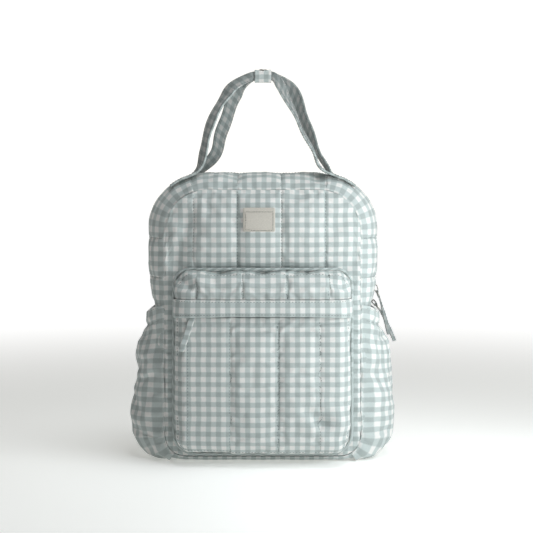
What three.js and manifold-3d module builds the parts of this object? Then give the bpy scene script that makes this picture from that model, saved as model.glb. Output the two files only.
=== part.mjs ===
// A quilted puffer backpack standing on a surface, in millimetres: +Z is up and its front faces -Y.
// Every soft piece is a padded wall: a unit box whose cells are bent on to the shape of the bag.
import * as THREE from "three";
import { mergeVertices } from "three/addons/utils/BufferGeometryUtils.js";
import Module from "manifold-3d";

// Main compartment: the line of the front seam, seen from the front
const bodyHalfWidth = 131;
const bodyTop = 366;
const seamFoot = 9;
const topCorner = 56;
const footCorner = 28;

// Main compartment, seen from the side
const footDepth = 140;
const frontLean = 18;
const backLean = 4;
const frontSwell = 13;
const backSwell = 5;
const sideBulge = 20;
const topBulge = 17;

// Quilted wall
const seamThick = 3;
const padding = 4;
const seamGap = 0.3;
const channelWidth = 59;
const channelOffset = -4.5;
const channelPuff = 6;
const backPuff = 3;
const floorPress = 0.6;

// Main zip, over the top from side to side
const zipFoot = 205;
const tapeWidth = 15;
const tapeThick = 1.4;
const teethWidth = 5;
const teethRise = 1.4;

// Front pocket
const pocketHalfWidth = 117;
const pocketFoot = 15;
const pocketTop = 258;
const pocketTopCorner = 20;
const pocketFootCorner = 26;
const pocketDepth = 33;
const pocketRound = 22;
const pocketChannel = 58.5;
const pocketHem = 15;
const pocketChannelOffset = -6.5;
const pocketPuff = 5;
const bandFoot = 221;
const zipOpening = 14;
const placketHeight = 21.5;
const placketThick = 2.6;
const placketStandOff = 4;
const pocketPullPlace = -91;
const pocketPullLength = 50;
const pocketPullWidth = 8;
const pocketPullThick = 1.2;
const pocketPullLean = 16;

// Side pockets
const mouthTop = 213;
const mouthDip = 14;
const pouchBulge = 19;
const pouchWall = 3;
const gatherDepth = 2;
const waistSqueeze = 10;
const waistHeight = 195;
const waistReach = 35;

// Handles and their grip
const handleWidth = 22;
const handleThick = 3.6;
const handleSetback = 35;
const handleSeatFrom = 50;
const handleSeatTo = 72;
const bunchWidth = 11.4;
const bunchThick = 4.6;
const gripHeight = 522;
const gripLength = 23;
const gripWall = 2.4;

// Zip sliders, rings and pulls
const sliderPark = 8;
const sliderPitch = 22;
const sliderLength = 12;
const sliderWidth = 8;
const sliderThick = 2.6;
const lugWidth = 2;
const lugEye = 1.5;
const lugWall = 1;
const ringRadius = 5;
const ringWire = 0.8;
const pullLength = 76;
const shortPullLength = 52;
const pullWidth = 9;
const pullNeck = 5;
const pullPly = 1.2;

// Label
const labelWidth = 43;
const labelHeight = 32;
const labelThick = 0.9;
const labelOffset = -5;
const labelBelowTop = 24;

// Shoulder straps, behind
const strapWidth = 56;
const strapThick = 10;
const strapSpread = 54;
const strapTopDrop = 28;
const strapFoot = 142;
const strapArch = 30;
const strapSplay = 1.12;
const webbingWidth = 25;
const webbingThick = 1.8;
const webbingSpread = 100;
const webbingFoot = 44;
const webbingSeat = 24;
const webbingHem = 1.5;

// Tessellation
const cellWidth = 20;
const cornerAngles = [0, 20, 40, 60];
const gussetCells = 8;

const sewnFabric = new THREE.MeshStandardMaterial({ color: 0xc6d0d0, roughness: 0.85, metalness: 0 });
const strapFabric = new THREE.MeshStandardMaterial({ color: 0xbfcaca, roughness: 0.85, metalness: 0 });
const clothTab = new THREE.MeshStandardMaterial({ color: 0xcdd6d6, roughness: 0.85, metalness: 0 });
const zipTape = new THREE.MeshStandardMaterial({ color: 0x9fb0ae, roughness: 0.8, metalness: 0 });
const darkMetal = new THREE.MeshStandardMaterial({ color: 0x6e6b64, roughness: 0.35, metalness: 1 });
const labelCloth = new THREE.MeshStandardMaterial({ color: 0xd8d5cb, roughness: 0.9, metalness: 0 });
const webbing = new THREE.MeshStandardMaterial({ color: 0xa9b6b5, roughness: 0.8, metalness: 0 });

const { clamp, lerp, degToRad, smoothstep } = THREE.MathUtils;
const rightward = new THREE.Vector3(1, 0, 0);
const backward = new THREE.Vector3(0, 1, 0);
const upward = new THREE.Vector3(0, 0, 1);
const backpack = new THREE.Group();

// 1 in the middle of a span and 0 at both ends; a larger power gives a flatter middle.
const dome = (share, power) => 1 - Math.abs(2 * share - 1) ** power;

// A unit box bent into shape: along, across and through run from 0 to 1; through ends at the outer face.
function bentBox(alongCells, acrossCells, place) {
  const geometry = new THREE.BoxGeometry(1, 1, 1, alongCells, acrossCells, 1);
  const corner = geometry.getAttribute("position");
  const share = (value, cells) => Math.round((value + 0.5) * cells) / cells;
  for (let i = 0; i < corner.count; i += 1) {
    const along = share(corner.getX(i), alongCells);
    const across = share(corner.getY(i), acrossCells);
    const through = share(corner.getZ(i), 1);
    corner.setXYZ(i, ...place(along, across, through).toArray());
  }
  geometry.computeVertexNormals();
  return geometry;
}

function addPiece(name, geometry, material) {
  const mesh = new THREE.Mesh(geometry, material);
  mesh.name = name;
  backpack.add(mesh);
  return mesh;
}

// The sewn line round a panel: a rectangle with round corners, seen from the front.
class SeamLine {
  constructor(halfWidth, foot, top, footRadius, topRadius) {
    Object.assign(this, { halfWidth, foot, top, footRadius, topRadius });
    this.middle = (foot + top) / 2;
  }

  topAt(x) {
    const past = Math.max(0, Math.abs(x) - (this.halfWidth - this.topRadius));
    return this.top - this.topRadius + Math.sqrt(Math.max(0, this.topRadius ** 2 - past ** 2));
  }

  footAt(x) {
    const past = Math.max(0, Math.abs(x) - (this.halfWidth - this.footRadius));
    return this.foot + this.footRadius - Math.sqrt(Math.max(0, this.footRadius ** 2 - past ** 2));
  }

  // How far a point lies inside the line.
  inset(x, z) {
    const radius = z > this.middle ? this.topRadius : this.footRadius;
    const pastX = Math.abs(x) - (this.halfWidth - radius);
    const pastZ = Math.abs(z - this.middle) - (this.top - this.middle - radius);
    const outside = Math.hypot(Math.max(pastX, 0), Math.max(pastZ, 0));
    return radius - outside - Math.min(Math.max(pastX, pastZ), 0);
  }

  // The outward direction at a point of the line.
  outward(x, z) {
    const radius = z > this.middle ? this.topRadius : this.footRadius;
    const centreX = Math.sign(x) * (this.halfWidth - radius);
    const centreZ = z > this.middle ? this.top - radius : this.foot + radius;
    const pastX = Math.abs(x) - Math.abs(centreX);
    const pastZ = Math.abs(z - this.middle) - Math.abs(centreZ - this.middle);
    if (pastX > 0 && pastZ > 0) return new THREE.Vector2(x - centreX, z - centreZ).normalize();
    if (pastX > pastZ) return new THREE.Vector2(Math.sign(x), 0);
    return new THREE.Vector2(0, Math.sign(z - this.middle));
  }
}

// Points between the first and the last, so that no step is longer than the longest.
function filled(points, longest) {
  const out = [points[0]];
  for (let i = 1; i < points.length; i += 1) {
    const steps = Math.max(1, Math.round((points[i] - points[i - 1]) / longest));
    for (let k = 1; k <= steps; k += 1) out.push(lerp(points[i - 1], points[i], k / steps));
  }
  return out;
}

// The quilting seams of a panel, as places across it.
function seamPlaces(offset, pitch, reach) {
  const out = [];
  for (let x = offset - pitch / 2; x > -reach; x -= pitch) out.unshift(x);
  for (let x = offset + pitch / 2; x < reach; x += pitch) out.push(x);
  return out;
}

// The columns of a panel: steps of its top corner's arc at each side, and the quilting seams between.
function columnPlaces(line, seams) {
  const past = cornerAngles.map((angle) => line.topRadius * (1 - Math.cos(degToRad(angle))));
  const arcs = past.map((distance) => line.halfWidth - distance);
  const inner = arcs.pop();
  const between = seams.filter((x) => Math.abs(x) < inner - cellWidth / 4);
  const middle = filled([-inner, ...between, inner], cellWidth);
  return [...arcs.map((x) => -x), ...middle, ...arcs.reverse()];
}

// How far a quilted channel swells at x: nothing on a seam, most midway between two.
function puffAt(x, seams, reach) {
  const lines = [-reach, ...seams, reach];
  const next = Math.max(1, lines.findIndex((place) => place > x));
  const share = clamp((x - lines[next - 1]) / (lines[next] - lines[next - 1]), 0, 1);
  return dome(share, 2.2);
}

// Main folds. Each runs from one point of a piece to another, as shares of its width and height, and
// is a share of the padding deep: a dent is positive, a ridge negative.
const panelCreases = [
  { fromWide: 0.04, fromTall: 0.55, toWide: 0.16, toTall: 0.95, deep: 1.1, broad: 0.035 },
  { fromWide: 0.1, fromTall: 0.35, toWide: 0.22, toTall: 0.8, deep: -0.5, broad: 0.04 },
];
const pocketCreases = [
  { fromWide: 0.74, fromTall: 0.04, toWide: 0.97, toTall: 0.2, deep: 1.3, broad: 0.045 },
  { fromWide: 0.84, fromTall: 0.02, toWide: 0.99, toTall: 0.12, deep: -0.8, broad: 0.04 },
];
const bandCreases = [
  { fromWide: 0.03, fromTall: 0.9, toWide: 0.16, toTall: 0.86, deep: 1.6, broad: 0.03 },
];
const pouchCreases = [
  { fromWide: 0.12, fromTall: 0.12, toWide: 0.55, toTall: 0.42, deep: 1.2, broad: 0.07 },
];

// How deep the folds are at a point given in the same shares.
function creaseAt(creases, wide, tall) {
  let depth = 0;
  for (const { fromWide, fromTall, toWide, toTall, deep, broad } of creases) {
    const from = new THREE.Vector3(fromWide, fromTall, 0);
    const to = new THREE.Vector3(toWide, toTall, 0);
    const here = new THREE.Vector3(wide, tall, 0);
    const near = new THREE.Line3(from, to).closestPointToPoint(here, true, new THREE.Vector3());
    depth -= deep * padding * Math.exp(-((near.distanceTo(here) / broad) ** 2));
  }
  return depth;
}

const bodyLine = new SeamLine(bodyHalfWidth, seamFoot, bodyTop, footCorner, topCorner);
const pocketLine = new SeamLine(pocketHalfWidth, pocketFoot, pocketTop, pocketFootCorner, pocketTopCorner);
const bodySeams = seamPlaces(channelOffset, channelWidth, bodyHalfWidth - channelWidth / 2);
const bodyColumns = columnPlaces(bodyLine, bodySeams);

const frontAt = (z) => -footDepth / 2 + frontLean * (z / bodyTop) ** 1.5;
const backAt = (z) => footDepth / 2 - backLean * (z / bodyTop) ** 1.5;

// The levels of the panels' rows: foot to zip end, to just over the front pocket, and to the top.
const pocketClear = pocketTop + seamThick;
const lowerRows = 5;
const upperShares = [0.14, 0.34, 0.6, 0.84, 1];
const rowCount = lowerRows + 1 + upperShares.length;

function rowLevel(x, row) {
  const foot = bodyLine.footAt(x);
  if (row <= lowerRows) return lerp(foot, zipFoot, row / lowerRows);
  if (row === lowerRows + 1) return pocketClear;
  return lerp(pocketClear, bodyLine.topAt(x), upperShares[row - lowerRows - 2]);
}

// The front is flat behind the pocket and swells above it, more in the channels than on their seams.
function frontFace(x, z) {
  const tall = clamp((z - pocketClear) / (bodyTop - pocketClear), 0, 1);
  const wide = (x / bodyHalfWidth + 1) / 2;
  const edge = smoothstep(bodyLine.inset(x, z), 0, channelWidth / 4);
  const swell = frontSwell * dome(wide, 3) * dome(tall, 2.6);
  const puff = channelPuff * puffAt(x, bodySeams, bodyHalfWidth) * smoothstep(tall, 0, 0.2) * edge;
  return frontAt(z) - swell - puff - creaseAt(panelCreases, wide, tall);
}

function backFace(x, z) {
  const tall = clamp((z - seamFoot) / (bodyTop - seamFoot), 0, 1);
  const wide = (x / bodyHalfWidth + 1) / 2;
  const edge = smoothstep(bodyLine.inset(x, z), 0, channelWidth / 4);
  const puff = backPuff * puffAt(x, bodySeams, bodyHalfWidth) * edge;
  return backAt(z) + backSwell * dome(wide, 3) * dome(tall, 4) + puff;
}

// How thick a quilted wall is where its face has come this far out of the seam plane.
const quiltThick = (rise) => seamThick + padding * smoothstep(rise, 0, channelPuff);

// A point of the seam line, drawn in by half the gap so that the gusset clears it.
function panelPlace(column, row) {
  const x = bodyColumns[column];
  const z = rowLevel(x, row);
  const onRim = column === 0 || column === bodyColumns.length - 1 || row === 0 || row === rowCount;
  const out = bodyLine.outward(x, z);
  const shift = onRim ? seamGap / 2 : 0;
  return { x: x - shift * out.x, z: z - shift * out.y };
}

function frontPanel() {
  const cells = bodyColumns.length - 1;
  return bentBox(cells, rowCount, (along, across, through) => {
    const { x, z } = panelPlace(Math.round(along * cells), Math.round(across * rowCount));
    const face = frontFace(x, z);
    return new THREE.Vector3(x, through ? face : face + quiltThick(frontAt(z) - face), z);
  });
}

function backPanel() {
  const cells = bodyColumns.length - 1;
  return bentBox(cells, rowCount, (along, across, through) => {
    const { x, z } = panelPlace(Math.round((1 - along) * cells), Math.round(across * rowCount));
    const face = backFace(x, z);
    return new THREE.Vector3(x, through ? face : face - quiltThick(face - backAt(z)), z);
  });
}

// The seam line's stations, from the right zip end over the top to the left one, and back under the foot.
function rimStations() {
  const last = bodyColumns.length - 1;
  const station = (column, row) => {
    const x = bodyColumns[column];
    const z = rowLevel(x, row);
    return { x, z, out: bodyLine.outward(x, z), seam: bodySeams.includes(x) };
  };
  const upper = [];
  for (let row = lowerRows; row < rowCount; row += 1) upper.push(station(last, row));
  for (let column = last; column > 0; column -= 1) upper.push(station(column, rowCount));
  for (let row = rowCount; row >= lowerRows; row -= 1) upper.push(station(0, row));
  const lower = [];
  for (let row = lowerRows; row > 0; row -= 1) lower.push(station(0, row));
  for (let column = 0; column < last; column += 1) lower.push(station(column, 0));
  for (let row = 0; row <= lowerRows; row += 1) lower.push(station(last, row));
  return { upper, lower };
}

// How far the gusset's inner face stands out from the seam line, t of the way from front to back.
function gussetInner(z, out, t) {
  const under = Math.max(0, -out.y) ** 2;
  const waist = waistSqueeze * Math.exp(-(((z - waistHeight) / waistReach) ** 2));
  const restBulge = seamFoot - seamThick - padding + floorPress;
  const bulge = out.x ** 2 * (sideBulge - waist) + Math.max(0, out.y) ** 2 * topBulge + under * restBulge;
  return seamGap / 2 + bulge * dome(t, lerp(2.4, 8, under));
}

function gussetThick(out, t, onSeam) {
  const under = Math.max(0, -out.y) ** 2;
  return seamThick + padding * dome(t, lerp(3, 8, under)) * (onSeam ? 0.4 : 1);
}

const gussetOuter = (z, out, t, onSeam) => gussetInner(z, out, t) + gussetThick(out, t, onSeam);

// A point over the gusset, offset from the seam line, t of the way from front to back, never under the floor.
function overSeam(x, z, out, t, offset) {
  const y = lerp(frontAt(z), backAt(z), t);
  return new THREE.Vector3(x + out.x * offset, y, Math.max(0, z + out.y * offset));
}

// A strip of the gusset from t0 to t1, with its ends drawn in by half the gap where endGap says.
function gussetStrip(stations, cells, t0, t1, faces) {
  const steps = stations.length - 1;
  return bentBox(cells, steps, (along, across, through) => {
    const index = Math.round(across * steps);
    const here = stations[index];
    const t = lerp(t0, t1, along);
    const [inner, outer] = faces(here, t);
    const point = overSeam(here.x, here.z, here.out, t, through ? outer : inner);
    if (index === 0 || index === steps) point.z += (here.endUp * seamGap) / 2;
    return point;
  });
}

const rim = rimStations();
for (const station of rim.upper) station.endUp = 1;
for (const station of rim.lower) station.endUp = -1;

const quiltedWall = ({ z, out, seam }, t) => [gussetInner(z, out, t), gussetOuter(z, out, t, seam)];
const tapeHalf = tapeWidth / 2 / footDepth;
const stripGap = seamGap / 2 / (footDepth - frontLean - backLean);

// The tape lies midway in the wall, with the row of teeth standing on it.
function tapeWall({ z, out }, t) {
  const floor = gussetInner(z, out, 0.5) + seamThick / 2;
  const teeth = Math.abs(t - 0.5) * footDepth < teethWidth / 2 ? teethRise : 0;
  return [floor, floor + tapeThick + teeth];
}

function mainZip() {
  const reach = tapeHalf - stripGap;
  const cells = 8;
  return gussetStrip(rim.upper, cells, 0.5 - reach, 0.5 + reach, tapeWall);
}

addPiece("front_panel", frontPanel(), sewnFabric);
addPiece("back_panel", backPanel(), sewnFabric);
const half = gussetCells / 2;
const beforeZip = 0.5 - tapeHalf - stripGap;
const afterZip = 0.5 + tapeHalf + stripGap;
addPiece("gusset_top_front", gussetStrip(rim.upper, half, 0, beforeZip, quiltedWall), sewnFabric);
addPiece("gusset_top_back", gussetStrip(rim.upper, half, afterZip, 1, quiltedWall), sewnFabric);
addPiece("main_zip", mainZip(), zipTape);
addPiece("gusset_bottom", gussetStrip(rim.lower, gussetCells, 0, 1, quiltedWall), sewnFabric);

// Front pocket: a shell standing on the flat part of the front, its edges turned back to meet it
const pocketSeams = seamPlaces(pocketChannelOffset, pocketChannel, pocketHalfWidth - pocketRound);
const pocketColumns = columnPlaces(pocketLine, pocketSeams);
const panelHead = bandFoot - zipOpening;
const placketFoot = bandFoot - placketHeight;

// How far the shell's rounded edge has turned to face the side, and how far to face the front.
function pocketTurn(x, z) {
  const share = clamp(pocketLine.inset(x, z) / pocketRound, 0, 1);
  return { share, aside: 1 - share, rise: Math.sqrt(1 - (1 - share) ** 2) };
}

// A point of the shell's outer face or of its inner one; low and high are the piece's own edges.
function pocketPoint(x, z, low, high, creases, through) {
  const { share, rise } = pocketTurn(x, z);
  const edge = Math.min(z - low, high - z);
  const puff = puffAt(x, pocketSeams, pocketHalfWidth) * smoothstep(edge, 0, pocketHem) * share;
  const wide = (x / pocketHalfWidth + 1) / 2;
  const tall = (z - pocketFoot) / (pocketTop - pocketFoot);
  const fold = creaseAt(creases, wide, tall) * share;
  const depth = pocketDepth * rise + pocketPuff * puff + fold;
  const floor = frontAt(z) - seamGap;
  if (through) return new THREE.Vector3(x, floor - depth, z);
  const thick = seamThick + padding * puff;
  const out = pocketLine.outward(x, z);
  const inward = seamThick * (1 - share);
  return new THREE.Vector3(x - out.x * inward, floor - depth + thick * rise, z - out.y * inward);
}

function pocketSheet(rows, lowAt, highAt, creases, shares) {
  const cells = pocketColumns.length - 1;
  return bentBox(cells, rows, (along, across, through) => {
    const x = pocketColumns[Math.round(along * cells)];
    const low = lowAt(x);
    const high = highAt(x);
    const z = lerp(low, high, shares ? shares[Math.round(across * rows)] : across);
    return pocketPoint(x, z, low, high, creases, through);
  });
}

// The rounded foot is followed by rows that lie closer together there.
const panelShares = [0, 0.015, 0.05, 0.1, 0.2, 0.36, 0.53, 0.7, 0.86, 1];
const bandShares = [0, 0.25, 0.5, 0.72, 0.88, 0.97, 1];
const footAt = (x) => pocketLine.footAt(x);
const topAt = (x) => pocketLine.topAt(x);
const panelSheet = pocketSheet(panelShares.length - 1, footAt, () => panelHead, pocketCreases, panelShares);
const bandSheet = pocketSheet(bandShares.length - 1, () => bandFoot, topAt, bandCreases, bandShares);
addPiece("front_pocket_panel", panelSheet, sewnFabric);
addPiece("front_pocket_band", bandSheet, sewnFabric);

// The flap over the zip hangs from the band and stands off more towards its free edge.
function placket() {
  const cells = pocketColumns.length - 1;
  return bentBox(cells, 2, (along, across, through) => {
    const x = pocketColumns[Math.round(along * cells)];
    const z = lerp(placketFoot, bandFoot - seamGap, across);
    const point = pocketPoint(x, z, z, z, [], 1);
    const away = seamGap + placketStandOff * (1 - across) + placketThick * through;
    const { aside, rise } = pocketTurn(x, z);
    point.x += Math.sign(x) * away * aside;
    point.y -= away * rise;
    return point;
  });
}

function pocketZip() {
  const cells = pocketColumns.length - 1;
  return bentBox(cells, 3, (along, across, through) => {
    const x = pocketColumns[Math.round(along * cells)];
    const z = lerp(panelHead + seamGap, bandFoot - seamGap, across);
    const point = pocketPoint(x, z, z, z, [], 0);
    const { aside, rise } = pocketTurn(x, z);
    point.x += Math.sign(x) * tapeThick * aside * through;
    point.y -= tapeThick * rise * through;
    return point;
  });
}

addPiece("front_pocket_placket", placket(), sewnFabric);
addPiece("front_pocket_zip", pocketZip(), zipTape);

// The pull hangs out from under the flap, close to the pocket's face.
function pocketPull() {
  return bentBox(1, 8, (along, across, through) => {
    const down = (1 - across) * pocketPullLength;
    const middle = pocketPullPlace - (down / pocketPullLength) * pocketPullLean;
    const x = middle + (along - 0.5) * pocketPullWidth;
    const z = (placketFoot + panelHead) / 2 - down;
    const face = pocketPoint(middle + pocketPullWidth / 2, z, pocketFoot, panelHead, pocketCreases, 1);
    const clear = seamGap * 2;
    return new THREE.Vector3(x, face.y - clear - pocketPullThick * through, z);
  });
}

addPiece("front_pocket_pull", pocketPull(), clothTab);

// Side pockets: a pouch round each side of the gusset, open at its gathered mouth
const sideLevels = Array.from({ length: rowCount + 1 }, (_, row) => rowLevel(bodyHalfWidth, row));
const sideways = new THREE.Vector2(1, 0);

// The gusset's faceted face on the straight side, as an offset from the seam line.
function sideOffset(z, t, offsetAt) {
  const above = clamp(sideLevels.findIndex((level) => level > z), 1, rowCount);
  const [low, high] = [sideLevels[above - 1], sideLevels[above]];
  const share = (z - low) / (high - low);
  return lerp(offsetAt(low, sideways, t), offsetAt(high, sideways, t), share);
}

// How far the pouch stands off the gusset up its side: shares of the bulge, at shares of the height.
const pouchProfile = [
  { height: 1, stand: 0.42 },
  { height: 0.93, stand: 0.41 },
  { height: 0.86, stand: 0.4 },
  { height: 0.79, stand: 0.4 },
  { height: 0.72, stand: 0.5 },
  { height: 0.6, stand: 0.6 },
  { height: 0.45, stand: 0.64 },
  { height: 0.3, stand: 0.8 },
  { height: 0.14, stand: 0.98 },
  { height: 0, stand: 0.8 },
];
const cornerStand = 0.5;

function sidePocket(side) {
  const fine = 3 * gussetCells;
  const cells = fine - 2;
  const corner = bodyColumns.slice(1, 3).map((x) => -x);
  const rows = pouchProfile.length - 1 + corner.length;
  const creases = side < 0 ? pouchCreases : [];
  return bentBox(cells, rows, (along, across, through) => {
    const step = 1 + Math.round((side > 0 ? along : 1 - along) * cells);
    const t = step / fine;
    const row = Math.round((1 - across) * rows);
    const wide = (step - 1) / cells;
    const onCorner = row >= pouchProfile.length;
    const line = { x: bodyHalfWidth, out: sideways };
    line.z = lerp(sideLevels[0], mouthTop - mouthDip * dome(t, 2), onCorner ? 0 : pouchProfile[row].height);
    let stand = onCorner ? 0 : pouchProfile[row].stand;
    if (onCorner) {
      line.x = corner[row - pouchProfile.length];
      line.z = bodyLine.footAt(line.x);
      line.out = bodyLine.outward(line.x, line.z);
      stand = row < rows ? cornerStand : 0;
    }
    const wall = onCorner ? gussetOuter(line.z, line.out, t, false) : sideOffset(line.z, t, gussetOuter);
    const tall = clamp((line.z - sideLevels[0]) / (mouthTop - sideLevels[0]), 0, 1);
    const gather = step % 2 ? gatherDepth * smoothstep(tall, 0.6, 0.86) * Math.min(1, dome(wide, 8)) : 0;
    const fold = creaseAt(creases, wide, tall);
    const bulge = (pouchBulge * stand + gather + fold) * dome(wide, 2.8);
    const point = overSeam(line.x, line.z, line.out, t, wall + seamGap + bulge + pouchWall * through);
    point.x *= side;
    return point;
  });
}

addPiece("side_pocket_left", sidePocket(-1), sewnFabric);
addPiece("side_pocket_right", sidePocket(1), sewnFabric);

// Handles: each end lies sewn on the gusset's shoulder and the middle passes through the grip
const handleCurve = {
  front: [
    { up: 0.08, left: 0.88, right: 0.8, turn: 14 },
    { up: 0.25, left: 0.81, right: 0.69, turn: 34 },
    { up: 0.44, left: 0.76, right: 0.55, turn: 50 },
    { up: 0.62, left: 0.66, right: 0.43, turn: 62 },
    { up: 0.79, left: 0.53, right: 0.32, turn: 74 },
    { up: 0.91, left: 0.39, right: 0.24, turn: 84 },
  ],
  back: [
    { up: 0.1, left: 0.83, right: 0.9, turn: 12 },
    { up: 0.25, left: 0.66, right: 0.77, turn: 32 },
    { up: 0.44, left: 0.59, right: 0.66, turn: 50 },
    { up: 0.62, left: 0.5, right: 0.55, turn: 62 },
    { up: 0.79, left: 0.41, right: 0.45, turn: 74 },
    { up: 0.91, left: 0.31, right: 0.35, turn: 84 },
  ],
};
const gripTurn = 90;

const angleOf = ({ out }) => THREE.MathUtils.radToDeg(Math.atan2(out.y, Math.abs(out.x)));

// A point over the gusset's faceted top at an angle above the horizontal, on either side.
function shoulderPoint(angle, side, t) {
  const stations = rim.upper.filter(({ x, out }) => x * side > 0 && out.y > 0);
  stations.sort((a, b) => angleOf(a) - angleOf(b));
  const next = Math.max(1, stations.findIndex((station) => angleOf(station) >= angle));
  const [low, high] = [stations[next - 1], stations[next]];
  const share = (angle - angleOf(low)) / (angleOf(high) - angleOf(low));
  const over = ({ x, z, out }) => overSeam(x, z, out, t, gussetOuter(z, out, t, false) + seamGap);
  return over(low).lerp(over(high), share);
}

// Where a handle's end bends with the gusset: the angles of its sections on one side.
function seatAngles(side) {
  const bends = rim.upper.filter(({ x, out }) => x * side > 0 && out.y > 0).map(angleOf);
  const between = bends.filter((angle) => angle > handleSeatFrom + 1 && angle < handleSeatTo - 1);
  return [handleSeatFrom, ...between.sort((a, b) => a - b), handleSeatTo];
}

// The places across a handle, from its front edge to its back edge, with the gusset's own facets between.
function handlePlaces(facing) {
  const middle = facing < 0 ? handleSetback / footDepth : 1 - handleSetback / footDepth;
  const reach = handleWidth / 2 / (footDepth - frontLean);
  const [from, to] = facing < 0 ? [0, beforeZip] : [afterZip, 1];
  const facets = Array.from({ length: half + 1 }, (_, k) => lerp(from, to, k / half));
  const inside = facets.filter((t) => Math.abs(t - middle) < reach * 0.9);
  return [middle - reach, ...inside, middle + reach];
}

// The sections of one handle from left to right.
function handleSections(name, facing, places) {
  const seat = (side) => seatAngles(side).map((angle) => places.map((t) => shoulderPoint(angle, side, t)));
  const bunchY = (facing * (bunchThick + seamGap)) / 2;
  const table = handleCurve[name];
  const free = (side) => {
    const edge = seat(side).at(-1);
    const from = edge[0].clone().lerp(edge.at(-1), 0.5);
    const rows = table.map(({ up, turn, left, right }) => {
      const x = (side < 0 ? left : right) * from.x;
      const middle = new THREE.Vector3(x, lerp(from.y, bunchY, up ** 1.3), lerp(from.z, gripHeight, up));
      return { middle, up, turn: -facing * turn };
    });
    const inGrip = new THREE.Vector3(side * (gripLength / 2 + gripWall), bunchY, gripHeight);
    return [...rows, { middle: inGrip, up: 1, turn: -facing * gripTurn, run: rightward }];
  };
  const seated = (points) => ({ points, middle: points[0].clone().lerp(points.at(-1), 0.5) });
  const [left, right] = [-1, 1].map((side) => [...seat(side).map(seated), ...free(side)]);
  return [...left, ...right.reverse()];
}

function handle(name, facing) {
  const places = handlePlaces(facing);
  const sections = handleSections(name, facing, places);
  const last = sections.length - 1;
  const across = places.length - 1;
  return bentBox(across, last, (wide, along, through) => {
    const place = Math.round(wide * across);
    const index = Math.round((1 - along) * last);
    const here = sections[index];
    const before = sections[Math.max(0, index - 1)].middle;
    const after = sections[Math.min(last, index + 1)].middle;
    const run = here.run?.clone() ?? after.clone().sub(before).normalize();
    if (here.points) {
      const edge = here.points.at(-1).clone().sub(here.points[0]).normalize();
      return here.points[place].clone().addScaledVector(run.cross(edge).normalize(), handleThick * through);
    }
    const up = smoothstep(here.up, 0.75, 1);
    const edge = new THREE.Vector3(0, 1, 0).addScaledVector(run, -run.y).normalize();
    edge.applyAxisAngle(run, degToRad(here.turn));
    const normal = run.clone().cross(edge);
    const width = lerp(handleWidth, bunchWidth, up);
    const thick = lerp(handleThick, bunchThick, up);
    const share = (places[place] - places[0]) / (places[across] - places[0]);
    const point = here.middle.clone().addScaledVector(edge, (share - 0.5) * width);
    return point.addScaledVector(normal, (through - 0.5) * thick);
  });
}

addPiece("handle_front", handle("front", -1), strapFabric);
addPiece("handle_back", handle("back", 1), strapFabric);

// A flat ring with round corners, seen along its opening.
function frame(width, height, wall, corner) {
  const outline = (path, w, h, r) => {
    path.moveTo(w / 2, r - h / 2);
    path.absarc(w / 2 - r, h / 2 - r, r, 0, Math.PI / 2);
    path.absarc(r - w / 2, h / 2 - r, r, Math.PI / 2, Math.PI);
    path.absarc(r - w / 2, r - h / 2, r, Math.PI, Math.PI * 1.5);
    path.absarc(w / 2 - r, r - h / 2, r, Math.PI * 1.5, Math.PI * 2);
    return path;
  };
  const shape = outline(new THREE.Shape(), width + 2 * wall, height + 2 * wall, corner + wall);
  shape.holes.push(outline(new THREE.Path(), width, height, corner));
  return shape;
}

const gripInside = { width: 2 * bunchThick + 3 * seamGap, height: bunchWidth + 2 * seamGap };
const gripFrame = frame(gripInside.width, gripInside.height, gripWall, 1);
const gripSweep = { depth: gripLength, bevelEnabled: false, curveSegments: 3 };
const gripShape = new THREE.ExtrudeGeometry(gripFrame, gripSweep);
gripShape.translate(0, 0, -gripLength / 2);
const grip = addPiece("handle_grip", gripShape, strapFabric);
grip.position.set(0, 0, gripHeight);
grip.quaternion.setFromRotationMatrix(new THREE.Matrix4().makeBasis(backward, upward, rightward));

// Label, sewn to the middle channel of the upper front
const labelPlate = bentBox(6, 4, (along, across, through) => {
  const x = labelOffset + (along - 0.5) * labelWidth;
  const z = bodyTop - labelBelowTop - labelHeight * (1 - across);
  return new THREE.Vector3(x, frontFace(x, z) - seamGap - labelThick * through, z);
});
addPiece("label", labelPlate, labelCloth);

// Zip sliders, rings and pulls, on the right side
const wasm = await Module();
wasm.setup();

function roundHole(y, radius) {
  const points = new THREE.EllipseCurve(0, y, radius, radius).getPoints(16);
  return new THREE.Path(points.slice(1));
}

function solidOf(geometry) {
  const bare = new THREE.BufferGeometry();
  bare.setAttribute("position", geometry.getAttribute("position"));
  bare.setIndex(geometry.getIndex());
  const merged = mergeVertices(bare);
  const vertProperties = Float32Array.from(merged.getAttribute("position").array);
  const triVerts = Uint32Array.from(merged.getIndex().array);
  return new wasm.Manifold(new wasm.Mesh({ numProp: 3, vertProperties, triVerts }));
}

function joined(first, second) {
  const { vertProperties, triVerts } = solidOf(first).add(solidOf(second)).getMesh();
  const geometry = new THREE.BufferGeometry();
  geometry.setAttribute("position", new THREE.BufferAttribute(Float32Array.from(vertProperties), 3));
  geometry.setIndex(Array.from(triVerts));
  geometry.computeVertexNormals();
  return geometry;
}

// The slider's body with a lug on it, whose eye holds the ring. Its own +Y points away from the bag.
const eyeHeight = sliderThick + lugEye + lugWall / 2;

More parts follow.
